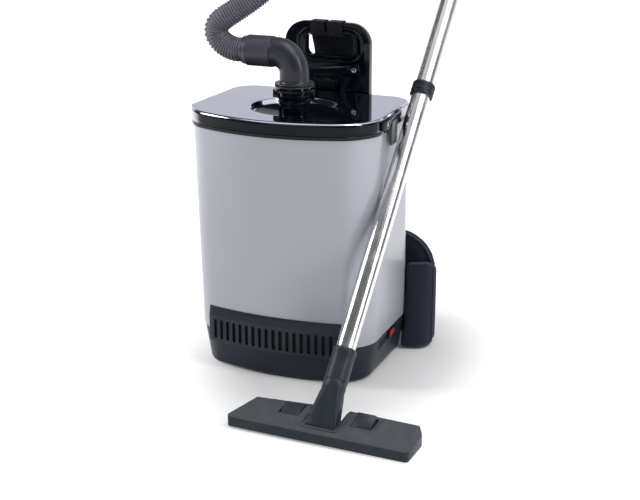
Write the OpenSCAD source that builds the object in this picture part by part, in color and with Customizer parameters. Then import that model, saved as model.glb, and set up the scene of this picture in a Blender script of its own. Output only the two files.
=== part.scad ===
// Backpack vacuum cleaner with wand, hose and floor tool, standing on the floor.
// Millimetres. X is to the right, Y towards the wearer's back pad, Z up.

/* [Lid] */
// Width of the lid at its front corners
lid_front_w = 336; // [310:1:360]
// Width of the lid at the back
lid_back_w = 328; // [300:1:350]
// Depth of the lid without the bulge
lid_d = 220; // [200:1:250]
// How far the front edge bulges forward
lid_bulge = 47; // [20:1:60]
// Radius of the upright corners
lid_corner_r = 44; // [30:1:60]
// Height of the lid
lid_h = 20.7; // [18:0.1:30]
// Wall of the lid
lid_wall = 3.5; // [2.5:0.5:5]
// Radius of the round dish in the lid
dish_r = 71; // [60:1:80]
// Depth of the dish
dish_depth = 12; // [8:0.5:13]

/* [Casing and base] */
// Width of the casing's foot at the front
foot_front_w = 320; // [290:1:350]
// Width of the casing's foot at the back
foot_back_w = 316; // [290:1:350]
// Depth of the casing's foot without the bulge
foot_d = 229; // [200:1:260]
// Bulge of the casing's foot
foot_bulge = 21; // [10:1:50]
// How far the foot stands behind the lid
foot_back = 15; // [5:1:20]
// Height of the silver casing
casing_h = 365; // [300:1:440]
// Wall of the casing
casing_wall = 3; // [2:0.5:5]
// Step of the casing in from the lid's edge
casing_step = 2.3; // [1.5:0.1:4]
// Width of the base at the floor
base_w = 296; // [270:1:320]
// Depth of the base at the floor
base_d = 215; // [190:1:240]
// Height of the base over its rubber feet
base_h = 64.5; // [55:0.5:90]
// Wall and floor of the base
base_wall = 3.5; // [2.5:0.5:5]
// Height of the rubber feet
rubber_h = 2.5; // [2:0.5:6]
// Radius of the rubber feet
rubber_r = 11; // [8:0.5:16]

/* [Exhaust grille] */
// How far the grille stands proud of the casing
grille_out = 6; // [4:0.5:9]
// Thickness of the grille's face
grille_t = 3; // [2:0.5:4]
// Underside of the grille over the floor
grille_low = 49; // [40:1:60]
// Height of the slotted face
grille_face_h = 48; // [30:1:50]
// Height of the sloping ledge over the face
grille_ledge_h = 14; // [12:1:26]
// Width of the grille
grille_w = 254; // [200:1:270]
// Number of slots
slot_n = 19; // [15:1:31]
// Width of one slot
slot_w = 6; // [3:0.2:7]
// Length of one slot
slot_l = 31; // [20:1:34]

/* [Inlet, elbow and hose] */
// Outer radius of the inlet socket
inlet_r = 26.5; // [24:0.5:32]
// Top of the inlet socket over the lid
inlet_rise = 14; // [10:1:24]
// Outer radius of the lock ring without its lugs
ring_r = 30; // [28:0.5:36]
// Height of the lock ring
ring_h = 20; // [14:1:26]
// Outer radius of the elbow
elbow_r = 24.6; // [22:0.2:28]
// Radius of the elbow's bend
elbow_bend = 32; // [28:1:45]
// Radius of the elbow's spigots
spigot_r = 22.5; // [20:0.5:24]
// Wall of the elbow and the cuffs
pipe_wall = 2.5; // [2:0.25:4]
// Height of the elbow's level arm over the lid
elbow_rise = 89; // [80:1:110]
// Length of the hose cuff
cuff_l = 53; // [40:1:70]
// Outer radius of the hose
hose_r = 20.5; // [16:0.5:24]

/* [Latches] */
// Width of a latch lever
lever_w = 26; // [20:1:32]
// Length of a latch lever under its pin
lever_l = 36; // [26:1:46]
// Width of the latch bracket
bracket_w = 96; // [80:1:110]
// Thickness of the latch bracket
bracket_t = 7; // [6:0.5:10]
// Radius of the latch pins
latch_pin_r = 1.6; // [1.2:0.1:2.4]
// Place of the latch along the lid's side
latch_y = -25; // [-34:1:-20]

/* [Carry plate] */
// Width of the plate with the carry handle
plate_w = 158; // [130:1:190]
// Top of the plate over the lid
plate_rise = 118; // [100:1:150]
// Radius of the plate's top corners
plate_r = 38; // [20:1:48]
// Depth of the plate's turned edge
plate_depth = 15; // [10:1:22]
// Width of the handle opening
grip_w = 90; // [80:1:110]
// Height of the handle opening
grip_h = 37; // [30:1:45]
// Thickness of the handle bar over the opening
grip_bar = 21; // [16:1:28]
// Width of the catch
catch_w = 44; // [30:1:60]
// Height of the catch
catch_h = 20; // [16:1:28]

/* [Motor] */
// Radius of the motor drum
drum_r = 84; // [76:1:90]
// Height of the motor drum
drum_h = 148; // [140:1:170]
// Radius of the fan housing
fan_case_r = 70; // [60:1:74]
// Height of the fan housing
fan_case_h = 40; // [32:1:50]
// Radius of the fan wheel
fan_r = 62; // [50:1:64]
// Number of fan blades
blade_n = 7; // [5:1:9]
// Radius of the motor shaft
shaft_r = 4; // [3:0.5:5]
// Radius of the armature
armature_r = 22; // [18:1:26]

/* [Wand and floor tool] */
// Outer radius of the wand tubes
tube_r = 16; // [14:0.5:19]
// Wall of the wand tubes
tube_wall = 1; // [0.8:0.1:2]
// Length of one wand tube
tube_l = 494; // [400:1:560]
// Lean of the wand from upright
wand_lean = 39.7; // [38:0.1:41]
// Turn of the wand about the upright
wand_turn = 4.2; // [3.5:0.1:6]
// Width of the floor tool
tool_w = 306; // [250:1:360]
// Depth of the floor tool
tool_d = 82; // [76:1:95]
// Turn of the floor tool about the upright
tool_turn = 3.2; // [0:0.1:8]
// Height of the floor tool's front face
tool_front_h = 20; // [16:0.5:26]
// Height of the floor tool at its back
tool_back_h = 31; // [28:0.5:40]
// Wall of the floor tool
tool_wall = 3; // [2:0.5:4]
// Radius of the rear wheels
wheel_r = 6; // [5:0.5:8]
// Width of one pedal
pedal_w = 34; // [26:1:40]

/* [Fits] */
// Radial clearance of a running fit
run_fit = 0.06; // [0.02:0.01:0.1]
// Gap between faces that seat on each other
seat = 0.3; // [0.2:0.05:0.5]

/* [Harness] */
// Width of the hip pad
hip_w = 384; // [340:1:420]
// Height of the hip pad
hip_h = 197; // [170:1:230]
// Thickness of the hip pad
pad_t = 22; // [10:1:26]
// Thickness of the back pad
back_pad_t = 13.8; // [8:0.2:20]
// Width of the strap webbing loops
loop_w = 30; // [20:1:31]

/* [Hidden] */
$fn = 64;

// Frame: the middle of the part's bounding box stands at X = Y = 0 on the floor
machine_x = -59;
machine_y = -75.1;

// Heights, from the floor up
base_top = rubber_h + base_h;
casing_top = base_top + casing_h;
rim_top = casing_top + 1.3;
lid_z = rim_top + seat;
lid_top = lid_z + lid_h;
deck_z = rubber_h + base_wall + drum_h + 4;

corner_steps = 8;
front_steps = 12;

function mix(a, b, t) = a + (b - a) * t;

// Rounded outline with a bulging front; the front is at -d/2, widths are at front and back
function corner(cx, cy, r, from) =
    [for (i = [0 : corner_steps]) [cx + r * cos(from + 90 * i / corner_steps),
                                   cy + r * sin(from + 90 * i / corner_steps)]];
function body_outline(wf, wb, d, r, bulge, inset = 0) =
    let (hx = wf / 2 - inset - (r - inset), hy = d / 2 - r,
         flat = concat(corner(hx, hy, r - inset, 0), corner(-hx, hy, r - inset, 90),
                       corner(-hx, -hy, r - inset, 180),
                       [for (i = [1 : front_steps - 1])
                            [mix(-hx, hx, i / front_steps), -d / 2 + inset]],
                       corner(hx, -hy, r - inset, 270)))
    [for (p = flat)
        let (t = p.y / d + 0.5, x = p.x * mix(1, wb / wf, t))
        [x, p.y - bulge * (1 - pow(2 * x / wf, 2)) * (1 - t)]];

// Casing section: t = 0 at its foot and 1 at its top
function casing_outline(t, inset = 0) =
    let (o = body_outline(mix(foot_front_w, lid_front_w - 2 * casing_step, t),
                          mix(foot_back_w, lid_back_w - 2 * casing_step, t),
                          mix(foot_d, lid_d - 2 * casing_step, t), lid_corner_r,
                          mix(foot_bulge, lid_bulge, t), inset))
    [for (p = o) [p.x, p.y + foot_back * (1 - t)]];
function lid_outline(inset = 0) =
    body_outline(lid_front_w, lid_back_w, lid_d, lid_corner_r, lid_bulge, inset);
function height_share(z) = (z - base_top) / casing_h;
function casing_side_x(z) = mix(foot_back_w, lid_back_w - 2 * casing_step, height_share(z)) / 2;

module slab(z, h, outline) { translate([0, 0, z]) linear_extrude(h) polygon(outline); }
module ring_slab(z, h, outer, inner) {
    translate([0, 0, z]) linear_extrude(h) difference() {
        polygon(outer);
        polygon(inner);
    }
}
// Ring of revolution from an outline of [radius, height] points
module turned(points) { rotate_extrude() polygon(points); }
module pipe(r, bore, h) {
    difference() {
        cylinder(r = r, h = h);
        translate([0, 0, -1]) cylinder(r = bore, h = h + 2);
    }
}
function round_rect(w, h, r, steps = 8) = concat(
    [for (i = [0 : steps]) [w / 2 - r + r * cos(90 * i / steps), h / 2 - r + r * sin(90 * i / steps)]],
    [for (i = [0 : steps]) [-w / 2 + r - r * sin(90 * i / steps), h / 2 - r + r * cos(90 * i / steps)]],
    [for (i = [0 : steps]) [-w / 2 + r - r * cos(90 * i / steps), -h / 2 + r - r * sin(90 * i / steps)]],
    [for (i = [0 : steps]) [w / 2 - r + r * sin(90 * i / steps), -h / 2 + r - r * cos(90 * i / steps)]]);

module machine() { translate([machine_x, machine_y, 0]) children(); }

// ---- Base ----------------------------------------------------------------
base_edge = 5;
base_side_lean = atan(((foot_front_w - base_w) / 2 - 1) / base_h);
function base_outline(t, inset = 0) =
    let (o = body_outline(mix(base_w, foot_front_w - 2, t), mix(base_w, foot_back_w - 2, t),
                          mix(base_d, foot_d - 2, t), mix(38, lid_corner_r, t),
                          mix(24, foot_bulge, t), inset))
    [for (p = o) [p.x, p.y + foot_back]];
function base_side_x(z) = mix(base_w / 2, foot_front_w / 2 - 1, (z - rubber_h) / base_h);

switch_y = 21;
switch_z = 56;
switch_l = 32;
switch_h = 17;
vent_y = -18;
vent_z = 50;
vent_n = 5;
inlet_gland_y = 62;
inlet_gland_z = 34;
gland_r = 9;
cable_bore_r = 4.3;
grille_cheek = 7;
window_w = grille_w - 2 * grille_cheek - 4;

// Frame on the base's side wall: local X points out of the wall
module on_base_side(side, y, z) {
    translate([side * base_side_x(z), y, z])
        rotate([0, side * base_side_lean, side < 0 ? 180 : 0]) rotate([0, side < 0 ? 2 * base_side_lean : 0, 0])
            children();
}
module exhaust_window(z, h) {
    translate([-window_w / 2, -foot_d, z]) cube([window_w, foot_d - 50, h]);
}
module base_housing() machine() color([0.16, 0.18, 0.23]) {
    difference() {
        hull() {
            slab(rubber_h, 0.1, base_outline(0, base_edge));
            slab(rubber_h + 1.5, 0.1, base_outline(0, base_edge * 0.3));
            slab(rubber_h + base_edge, 0.1, base_outline(0.04));
            slab(base_top - 0.1, 0.1, base_outline(1));
        }
        hull() {
            slab(rubber_h + base_wall, 0.1, base_outline(0, base_wall + 3));
            slab(base_top - 5, 0.1, base_outline(0.92, base_wall));
        }
        slab(base_top - 6, 7, base_outline(0.9, base_wall + 8));
        exhaust_window(grille_low + 4, base_top);
        on_base_side(1, switch_y, switch_z) translate([-20, -switch_l / 2 + 2, -switch_h / 2 + 2])
            cube([30, switch_l - 4, switch_h - 4]);
        for (i = [0 : vent_n - 1])
            on_base_side(1, vent_y + (i - (vent_n - 1) / 2) * 8, vent_z)
                translate([-20, -2.2, -9]) cube([30, 4.4, 18]);
        translate([-base_w / 2 + 30, inlet_gland_y, inlet_gland_z]) rotate([0, -90, 0])
            cylinder(r = gland_r - 2, h = 60);
    }
}
module rubber_feet() machine() color([0.07, 0.07, 0.08]) {
    for (sx = [-1, 1])
        for (y = [-base_d / 2 + foot_back + 38, base_d / 2 + foot_back - 32])
            translate([sx * (base_w / 2 - 42), y, 0]) cylinder(r1 = rubber_r - 1, r2 = rubber_r, h = rubber_h);
}
module cable_inlet() machine() color([0.08, 0.08, 0.09]) {
    wall_x = -base_side_x(inlet_gland_z);
    translate([wall_x, inlet_gland_y, inlet_gland_z]) rotate([0, -90, 0]) difference() {
        union() {
            translate([0, 0, 1.6]) cylinder(r = gland_r, h = 5);
            translate([0, 0, -6]) cylinder(r = gland_r - 2 - seat, h = 8);
        }
        translate([0, 0, -7]) cylinder(r = cable_bore_r, h = 20);
    }
}

// ---- Switch --------------------------------------------------------------
rocker_l = switch_l - 9;
rocker_h = switch_h - 7.5;
rocker_pin_r = 1.5;
rocker_tilt = 7;
module switch_bezel() machine() color([0.05, 0.05, 0.06])
    on_base_side(1, switch_y, switch_z) difference() {
        union() {
            translate([seat, -switch_l / 2, -switch_h / 2]) cube([2, switch_l, switch_h]);
            translate([-12, -switch_l / 2 + 2.3, -switch_h / 2 + 2.3])
                cube([13, switch_l - 4.6, switch_h - 4.6]);
        }
        translate([-10, -rocker_l / 2 - 0.3, -rocker_h / 2 - 0.3])
            cube([20, rocker_l + 0.6, rocker_h + 0.6]);
        translate([-3, 0, -switch_h]) cylinder(r = rocker_pin_r + run_fit, h = 2 * switch_h);
    }
module switch_rocker() machine() color([0.8, 0.06, 0.08])
    on_base_side(1, switch_y, switch_z) translate([-3, 0, 0]) rotate([0, 0, rocker_tilt]) translate([3, 0, 0]) {
        translate([0, 0, -rocker_h / 2]) intersection() {
            linear_extrude(rocker_h) polygon(concat(
                [[-7, -rocker_l / 2 + 4], [-7, rocker_l / 2 - 4]],
                [for (i = [0 : 10]) let (a = mix(1, -1, i / 10))
                    [2.8 + 1.6 * pow(a, 2), a * (rocker_l / 2 - 0.9)]]));
            translate([-3, 0, -1]) cylinder(r = rocker_l / 2, h = rocker_h + 2);
        }
        translate([-3, 0, -rocker_h / 2 - 1.4]) cylinder(r = rocker_pin_r, h = rocker_h + 2.8);
    }

// ---- Casing --------------------------------------------------------------
grille_top = grille_low + grille_face_h + grille_ledge_h;
module casing() machine() color([0.68, 0.69, 0.72]) {
    difference() {
        hull() {
            slab(base_top, 0.1, casing_outline(0));
            slab(casing_top - 0.1, 0.1, casing_outline(1));
        }
        hull() {
            slab(base_top - 30, 0.1, casing_outline(height_share(base_top - 30), casing_wall));
            slab(casing_top + 30, 0.1, casing_outline(height_share(casing_top + 30), casing_wall));
        }
        exhaust_window(base_top - 1, grille_low + grille_face_h - base_top);
    }
}
rim_skirt = 4.5;
module casing_rim() machine() color([0.2, 0.2, 0.22]) {
    ring_slab(casing_top, rim_top - casing_top, lid_outline(), casing_outline(1, casing_wall + 4));
    ring_slab(casing_top - rim_skirt, rim_skirt, lid_outline(), casing_outline(1, -0.5));
    ring_slab(casing_top - 9, 9, casing_outline(1, casing_wall + 0.8), casing_outline(1, casing_wall + 4));
    ring_slab(casing_top - 9, 2, casing_outline(1, casing_wall + 3.9), casing_outline(1, casing_wall + 10));
}

// ---- Exhaust grille ------------------------------------------------------
grille_end_y = -foot_d / 2 + foot_back + 38;
face_share = height_share(grille_low + grille_face_h);
module casing_envelope(gap) {
    hull() {
        slab(base_top, 0.1, casing_outline(0, -gap));
        slab(casing_top - 0.1, 0.1, casing_outline(1, -gap));
    }
}
module grille_sector() {
    translate([-grille_w / 2, grille_end_y - foot_d, 0]) cube([grille_w, foot_d, 200]);
}
// Closed end of the grille, from its face back to the casing and the base
module grille_ends() {
    difference() {
        intersection() {
            slab(grille_low, grille_face_h, casing_outline(face_share, -grille_out));
            for (s = [-1, 1])
                translate([s * (grille_w - grille_cheek) / 2 - grille_cheek / 2, -foot_d, 0])
                    cube([grille_cheek, foot_d, 200]);
        }
        casing_envelope(seat);
        slab(0, base_top + 1, casing_outline(0, -seat));
    }
}
// A point on the front of the casing's foot and the turn of the face there
function front_y(x) = -foot_d / 2 + foot_back - foot_bulge * (1 - pow(2 * x / foot_front_w, 2));
function front_turn(x) = atan(foot_bulge * 8 * x / pow(foot_front_w, 2));
slot_pitch = (window_w - 12) / (slot_n - 1);
module slot(depth) {
    translate([-slot_w / 2, -depth / 2, -slot_l / 2 + slot_w / 2]) cube([slot_w, depth, slot_l - slot_w]);
    for (s = [-1, 1])
        translate([0, depth / 2, s * (slot_l - slot_w) / 2]) rotate([90, 0, 0])
            cylinder(r = slot_w / 2, h = depth, $fn = 24);
}
module exhaust_grille() machine() color([0.12, 0.14, 0.19]) {
    face_top = grille_low + grille_face_h;
    intersection() {
        grille_sector();
        difference() {
            union() {
                ring_slab(grille_low, grille_face_h, casing_outline(face_share, -grille_out),
                          casing_outline(face_share, -grille_out + grille_t));
                ring_slab(grille_low, 3, casing_outline(face_share, -grille_out + grille_t),
                          casing_outline(0, -seat));
                grille_ends();
                difference() {
                    hull() {
                        slab(face_top, 0.1, casing_outline(face_share, -grille_out));
                        slab(grille_top - 0.1, 0.1, casing_outline(height_share(grille_top), -2));
                    }
                    casing_envelope(seat);
                }
            }
            for (i = [0 : slot_n - 1]) {
                x = (i - (slot_n - 1) / 2) * slot_pitch;
                translate([x, front_y(x), grille_low + grille_face_h / 2 + 0.5])
                    rotate([0, 0, front_turn(x)]) slot(30);
            }
        }
    }
}
module exhaust_foam() machine() color([0.05, 0.05, 0.06]) {
    intersection() {
        ring_slab(grille_low + 3.3, grille_face_h - 4, casing_outline(face_share, -grille_out + grille_t + seat),
                  casing_outline(face_share, -seat - 0.3));
        translate([-window_w / 2, -foot_d, 0]) cube([window_w, foot_d - 20, 200]);
    }
}

// ---- Motor, deck and dust chamber ----------------------------------------
motor_x = 0;
motor_y = 18;
drum_z = rubber_h + base_wall;
fan_z = drum_z + drum_h - fan_case_h - 6;
fan_gap = 4;
bearing_r = 11;
bearing_h = 7;
shaft_low = drum_z + 14;
shaft_high = fan_z + fan_case_h - 6;
module at_motor() { translate([motor_x, motor_y, 0]) children(); }
module motor_drum() machine() at_motor() color([0.25, 0.26, 0.28]) difference() {
    translate([0, 0, drum_z]) cylinder(r = drum_r, h = drum_h);
    translate([0, 0, drum_z + 4]) cylinder(r = drum_r - 4, h = drum_h);
    for (i = [0 : 6])
        translate([(i - 3) * 16 - 4, -drum_r - 10, drum_z + 30]) cube([8, 60, 50]);
}
module motor_deck() machine() color([0.22, 0.23, 0.25]) difference() {
    union() {
        slab(drum_z + drum_h, 4, casing_outline(height_share(drum_z + drum_h), casing_wall + 0.8));
        ring_slab(drum_z + drum_h + 4, 6, casing_outline(height_share(deck_z), casing_wall + 0.8),
                  casing_outline(height_share(deck_z), casing_wall + 4));
    }
    at_motor() translate([0, 0, drum_z + drum_h - 1]) {
        cylinder(r = 12, h = 12);
        for (a = [0 : 30 : 330]) rotate([0, 0, a]) translate([25, 0, 0]) cylinder(r = 5, h = 12, $fn = 24);
    }
}
module motor_seal() machine() at_motor() color([0.07, 0.07, 0.07])
    translate([0, 0, fan_z + fan_case_h]) pipe(fan_case_r - 8, 40, 6);
module fan_housing() machine() at_motor() color([0.72, 0.73, 0.75]) {
    translate([0, 0, fan_z]) difference() {
        cylinder(r = fan_case_r, h = fan_case_h);
        translate([0, 0, 3]) cylinder(r = fan_case_r - 2, h = fan_case_h - 5);
        translate([0, 0, fan_case_h - 5]) cylinder(r = 30, h = 10);
        translate([0, 0, -1]) cylinder(r = bearing_r + run_fit, h = 10);
        for (a = [15 : 30 : 345]) rotate([0, 0, a]) translate([fan_case_r - 14, 0, -1]) cylinder(r = 5, h = 10);
    }
}
module stator() machine() at_motor() color([0.5, 0.42, 0.35]) {
    low = drum_z + 4;
    difference() {
        union() {
            translate([0, 0, low]) cylinder(r = 40, h = 10);
            for (a = [45 : 90 : 315]) rotate([0, 0, a]) translate([34, 0, low]) cylinder(r = 5, h = fan_z - low);
            translate([0, 0, low + 26]) cylinder(r = 44, h = 46);
        }
        translate([0, 0, low + 20]) cylinder(r = armature_r + 1, h = 60);
        translate([0, 0, low - 1]) cylinder(r = bearing_r + run_fit, h = 20);
        translate([0, 0, low + 12]) cylinder(r = 20, h = 20);
    }
}
module motor_bearings() machine() at_motor() color([0.75, 0.75, 0.77]) {
    for (z = [drum_z + 6, fan_z - 3])
        translate([0, 0, z]) pipe(bearing_r, shaft_r + run_fit, bearing_h);
}
module motor_shaft() machine() at_motor() color([0.8, 0.8, 0.82])
    translate([0, 0, drum_z + 5]) cylinder(r = shaft_r, h = shaft_high - drum_z - 5);
module armature() machine() at_motor() color([0.72, 0.42, 0.22]) {
    low = drum_z + 32;
    translate([0, 0, low]) pipe(armature_r, shaft_r + run_fit / 3, 40);
    translate([0, 0, low - 12]) pipe(12, shaft_r + run_fit / 3, 12);
}
module fan_wheel() machine() at_motor() color([0.82, 0.83, 0.85]) {
    low = fan_z + 5.5;
    high = low + fan_case_h - 14;
    difference() {
        union() {
            translate([0, 0, low]) cylinder(r = fan_r, h = 1.5);
            translate([0, 0, low]) cylinder(r = 9, h = high - low);
            translate([0, 0, high - 1.5]) pipe(fan_r, 27, 1.5);
            for (i = [0 : blade_n - 1]) rotate([0, 0, 360 * i / blade_n]) translate([38, 22, low + 1])
                difference() {
                    cylinder(r = 34, h = high - low - 2);
                    translate([0, 0, -1]) cylinder(r = 32.5, h = fan_case_h);
                    translate([-60, -2, -1]) cube([140, 80, 60]);
                    translate([9, -60, -1]) cube([140, 180, 60]);
                }
        }
        translate([0, 0, low - 1]) cylinder(r = shaft_r, h = fan_case_h);
    }
}
filter_low = deck_z + 14;
frame_z = casing_top - 7;
module filter_frame() machine() color([0.3, 0.32, 0.36]) {
    ring_slab(frame_z, 2.5, casing_outline(1, casing_wall + 4.8), casing_outline(1, casing_wall + 27));
}
module cloth_filter() machine() color([0.86, 0.85, 0.8]) difference() {
    hull() {
        slab(frame_z - 0.1, 0.1, lid_outline(26));
        slab(filter_low, 0.1, casing_outline(0.3, 34));
    }
    hull() {
        slab(frame_z + 30, 0.1, lid_outline(27.5));
        slab(filter_low + 2, 0.1, casing_outline(0.3, 36));
    }
}
module dust_bag() machine() color([0.93, 0.92, 0.88]) hull() {
    slab(frame_z - 2, 0.1, lid_outline(52));
    slab(frame_z - 40, 0.1, lid_outline(37));
    slab(filter_low + 12, 0.1, casing_outline(0.3, 48));
}
module bag_collar() machine() color([0.72, 0.62, 0.45])
    translate([inlet_x, inlet_y, frame_z - 1.6]) pipe(52, inlet_r + seat, 3);

// ---- Lid, inlet and elbow --------------------------------------------------
inlet_x = 1;
inlet_y = -35;
dish_floor = lid_top - dish_depth;
socket_low = frame_z + 0.4;
socket_top = lid_top + inlet_rise;
elbow_low = socket_top + ring_h + 2 * seat;
arm_z = lid_top + elbow_rise;
module at_inlet() { translate([inlet_x, inlet_y, 0]) children(); }
module lid() machine() color([0.03, 0.03, 0.04]) {
    difference() {
        union() {
            difference() {
                hull() {
                    slab(lid_z, 0.1, lid_outline());
                    slab(lid_top - 4, 0.1, lid_outline());
                    slab(lid_top - 1.4, 0.1, lid_outline(1));
                    slab(lid_top - 0.1, 0.1, lid_outline(3.4));
                }
                slab(lid_z - 1, lid_h - lid_wall + 1, lid_outline(lid_wall));
            }
            at_inlet() translate([0, 0, dish_floor - lid_wall])
                cylinder(r = dish_r + lid_wall, h = lid_top - dish_floor);
        }
        at_inlet() turned_dish();
        at_inlet() translate([0, 0, lid_z - 2]) cylinder(r = inlet_r + run_fit, h = lid_h + 4);
    }
}
module turned_dish() {
    turned([[0, dish_floor], [dish_r - 5, dish_floor], [dish_r - 1.5, dish_floor + 2],
            [dish_r, dish_floor + 5], [dish_r, lid_top + 1], [0, lid_top + 1]]);
}
module lid_gasket() machine() color([0.1, 0.1, 0.11])
    ring_slab(lid_z + 0.05, 3, lid_outline(lid_wall + 0.2), lid_outline(lid_wall + 4.5));
module inlet_socket() machine() at_inlet() color([0.03, 0.03, 0.04]) {
    bore = spigot_r + run_fit;
    difference() {
        union() {
            translate([0, 0, socket_low]) cylinder(r = inlet_r, h = socket_top - socket_low);
            translate([0, 0, dish_floor - lid_wall - 3 - 0.05]) cylinder(r = inlet_r + 8, h = 3);
        }
        translate([0, 0, socket_low - 1]) cylinder(r = bore - pipe_wall, h = 60);
        translate([0, 0, lid_z + 6]) cylinder(r = bore, h = 60);
    }
}
module lock_ring() machine() at_inlet() color([0.04, 0.04, 0.05]) {
    translate([0, 0, socket_top + seat]) difference() {
        union() {
            cylinder(r = ring_r - 2, h = ring_h);
            translate([0, 0, ring_h - 7]) cylinder(r = ring_r + 3, h = 3);
            translate([0, 0, 2]) cylinder(r = ring_r, h = ring_h - 9);
            for (a = [10, 190]) rotate([0, 0, a]) translate([ring_r - 4, -7, 1]) cube([9, 14, ring_h - 7]);
        }
        translate([0, 0, -1]) cylinder(r = elbow_r - 1 + run_fit, h = ring_h + 2);
    }
}
module elbow() machine() at_inlet() color([0.17, 0.18, 0.2]) {
    inner = spigot_r - pipe_wall;
    arm_x = -elbow_bend;
    difference() {
        union() {
            translate([0, 0, lid_z + 6.3]) cylinder(r = spigot_r, h = elbow_low - lid_z - 5);
            translate([0, 0, socket_top + seat]) cylinder(r = elbow_r - 1, h = ring_h + 1.6);
            translate([0, 0, elbow_low]) cylinder(r = ring_r - 1, h = 6);
            for (z = [0, 3.5]) translate([0, 0, elbow_low + z]) cylinder(r = ring_r + 3, h = 2.5);
            translate([0, 0, elbow_low]) cylinder(r = elbow_r, h = arm_z - elbow_bend - elbow_low);
            elbow_turn(elbow_r);
            translate([arm_x, 0, arm_z]) rotate([0, -90, 0]) cylinder(r = elbow_r, h = cuff_start);
            translate([arm_x, 0, arm_z]) rotate([0, -90, 0]) cylinder(r = spigot_r, h = cuff_start + 22);
        }
        translate([0, 0, lid_z]) cylinder(r = inner, h = arm_z - elbow_bend - lid_z);
        elbow_turn(inner);
        translate([arm_x, 0, arm_z]) rotate([0, -90, 0]) cylinder(r = inner, h = 80);
    }
}
cuff_start = 4;
module elbow_turn(r) {
    translate([-elbow_bend, 0, arm_z - elbow_bend]) rotate([90, 0, 0])
        rotate_extrude(angle = 90) translate([elbow_bend, 0]) circle(r = r);
}
cuff_x = inlet_x - elbow_bend - cuff_start - seat;
module at_cuff() { translate([cuff_x, inlet_y, arm_z]) rotate([0, -90, 0]) children(); }
module hose_cuff() machine() at_cuff() color([0.14, 0.15, 0.17]) {
    bore = spigot_r + run_fit;
    turned([[bore, 0], [elbow_r + 0.6, 0], [elbow_r + 1.2, 1.5], [elbow_r + 1.2, cuff_l - 8],
            [elbow_r - 1, cuff_l - 5], [elbow_r - 1, cuff_l], [hose_r - 3, cuff_l],
            [hose_r - 3, 24], [bore, 24]]);
}

// ---- Latches ---------------------------------------------------------------
side_turn = atan((lid_front_w - lid_back_w) / 2 / lid_d);
latch_x = mix(lid_front_w, lid_back_w, latch_y / lid_d + 0.5) / 2;
pin_z = lid_z + 7;
pin_u = 4;
barrel_r = 3.6;
// Frame on the lid's side: local X points out of the wall; side is 1 right, -1 left
module at_latch(side) {
    mirror([side < 0 ? 1 : 0, 0, 0]) translate([latch_x, latch_y, 0]) rotate([0, 0, side_turn]) children();
}
module latch_bracket() {
    gap = lever_w / 2 + 0.4;
    difference() {
        intersection() {
            translate([0.05, -bracket_w / 2, lid_z + 0.8]) cube([bracket_t, bracket_w, lid_h - 5]);
            translate([bracket_t - 16, 0, lid_z - 5]) scale([1, 1, 1]) linear_extrude(60)
                polygon([[0, -bracket_w], [13, -bracket_w / 2], [16, -bracket_w / 2 + 12],
                         [16, bracket_w / 2 - 12], [13, bracket_w / 2], [0, bracket_w]]);
        }
        translate([-1, -gap, lid_z - 2]) cube([bracket_t + 4, 2 * gap, 14]);
        translate([pin_u, -lever_w, pin_z]) rotate([-90, 0, 0]) cylinder(r = latch_pin_r + run_fit, h = 2 * lever_w);
        for (v = latch_screw_v) translate([bracket_t - 2, v, lid_z + 9]) rotate([0, 90, 0]) cylinder(r = 3.4, h = 10);
    }
}
latch_screw_v = [-32, 32];
module latch_brackets() machine() color([0.04, 0.04, 0.05]) for (side = [-1, 1]) at_latch(side) latch_bracket();
module latch_screws() machine() color([0.75, 0.76, 0.78]) for (side = [-1, 1]) at_latch(side)
    for (v = latch_screw_v) translate([bracket_t - 1.95, v, lid_z + 9]) rotate([0, 90, 0]) difference() {
        cylinder(r = 3.2, h = 1.8);
        translate([-0.5, -2.2, 1]) cube([1, 4.4, 2]);
        translate([-2.2, -0.5, 1]) cube([4.4, 1, 2]);
    }
module latch_pins() machine() color([0.8, 0.8, 0.82]) for (side = [-1, 1]) at_latch(side)
    translate([pin_u, -lever_w / 2 - 5, pin_z]) rotate([-90, 0, 0]) cylinder(r = latch_pin_r, h = lever_w + 10);
module latch_lever() {
    hook_top = casing_top - rim_skirt - seat;
    low = pin_z - lever_l;
    translate([0, lever_w / 2, 0]) rotate([90, 0, 0]) linear_extrude(lever_w) difference() {
        union() {
            polygon([[seat, pin_z], [seat, hook_top], [-casing_step + 0.7, hook_top],
                     [-casing_step + 0.7, hook_top - 2.5], [seat + 0.7, hook_top - 5], [2, low + 4],
                     [4.5, low], [7.5, low], [7.6, pin_z]]);
            translate([pin_u, pin_z]) circle(r = barrel_r);
        }
        translate([pin_u, pin_z]) circle(r = latch_pin_r + run_fit);
    }
}
module latch_lever_left() machine() color([0.28, 0.29, 0.31]) at_latch(-1) latch_lever();
module latch_lever_right() machine() color([0.28, 0.29, 0.31]) at_latch(1) latch_lever();

// ---- Carry plate, catch and frame -------------------------------------------
plate_x = -2;
plate_y = lid_d / 2 + 6;
plate_t = 4;
plate_top = lid_top + plate_rise;
plate_low = lid_z - 12;
grip_x = 6;
grip_z = plate_top - grip_bar - grip_h / 2;
grip_lip = 5;
grip_r = 10;
lip_out = 3;
boss_x = 51;
boss_z = lid_top + 37;
catch_x = 2;
catch_z = lid_top + 1;
frame_y = plate_y + plate_depth;
function plate_outline(inset = 0) =
    let (hw = plate_w / 2 - inset, r = plate_r - inset, top = plate_top - inset)
    concat([[-hw, plate_low + inset], [hw, plate_low + inset]],
           [for (i = [0 : 10]) [hw - r + r * cos(9 * i), top - r + r * sin(9 * i)]],
           [for (i = [0 : 10]) [-hw + r - r * sin(9 * i), top - r + r * cos(9 * i)]]);
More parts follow.
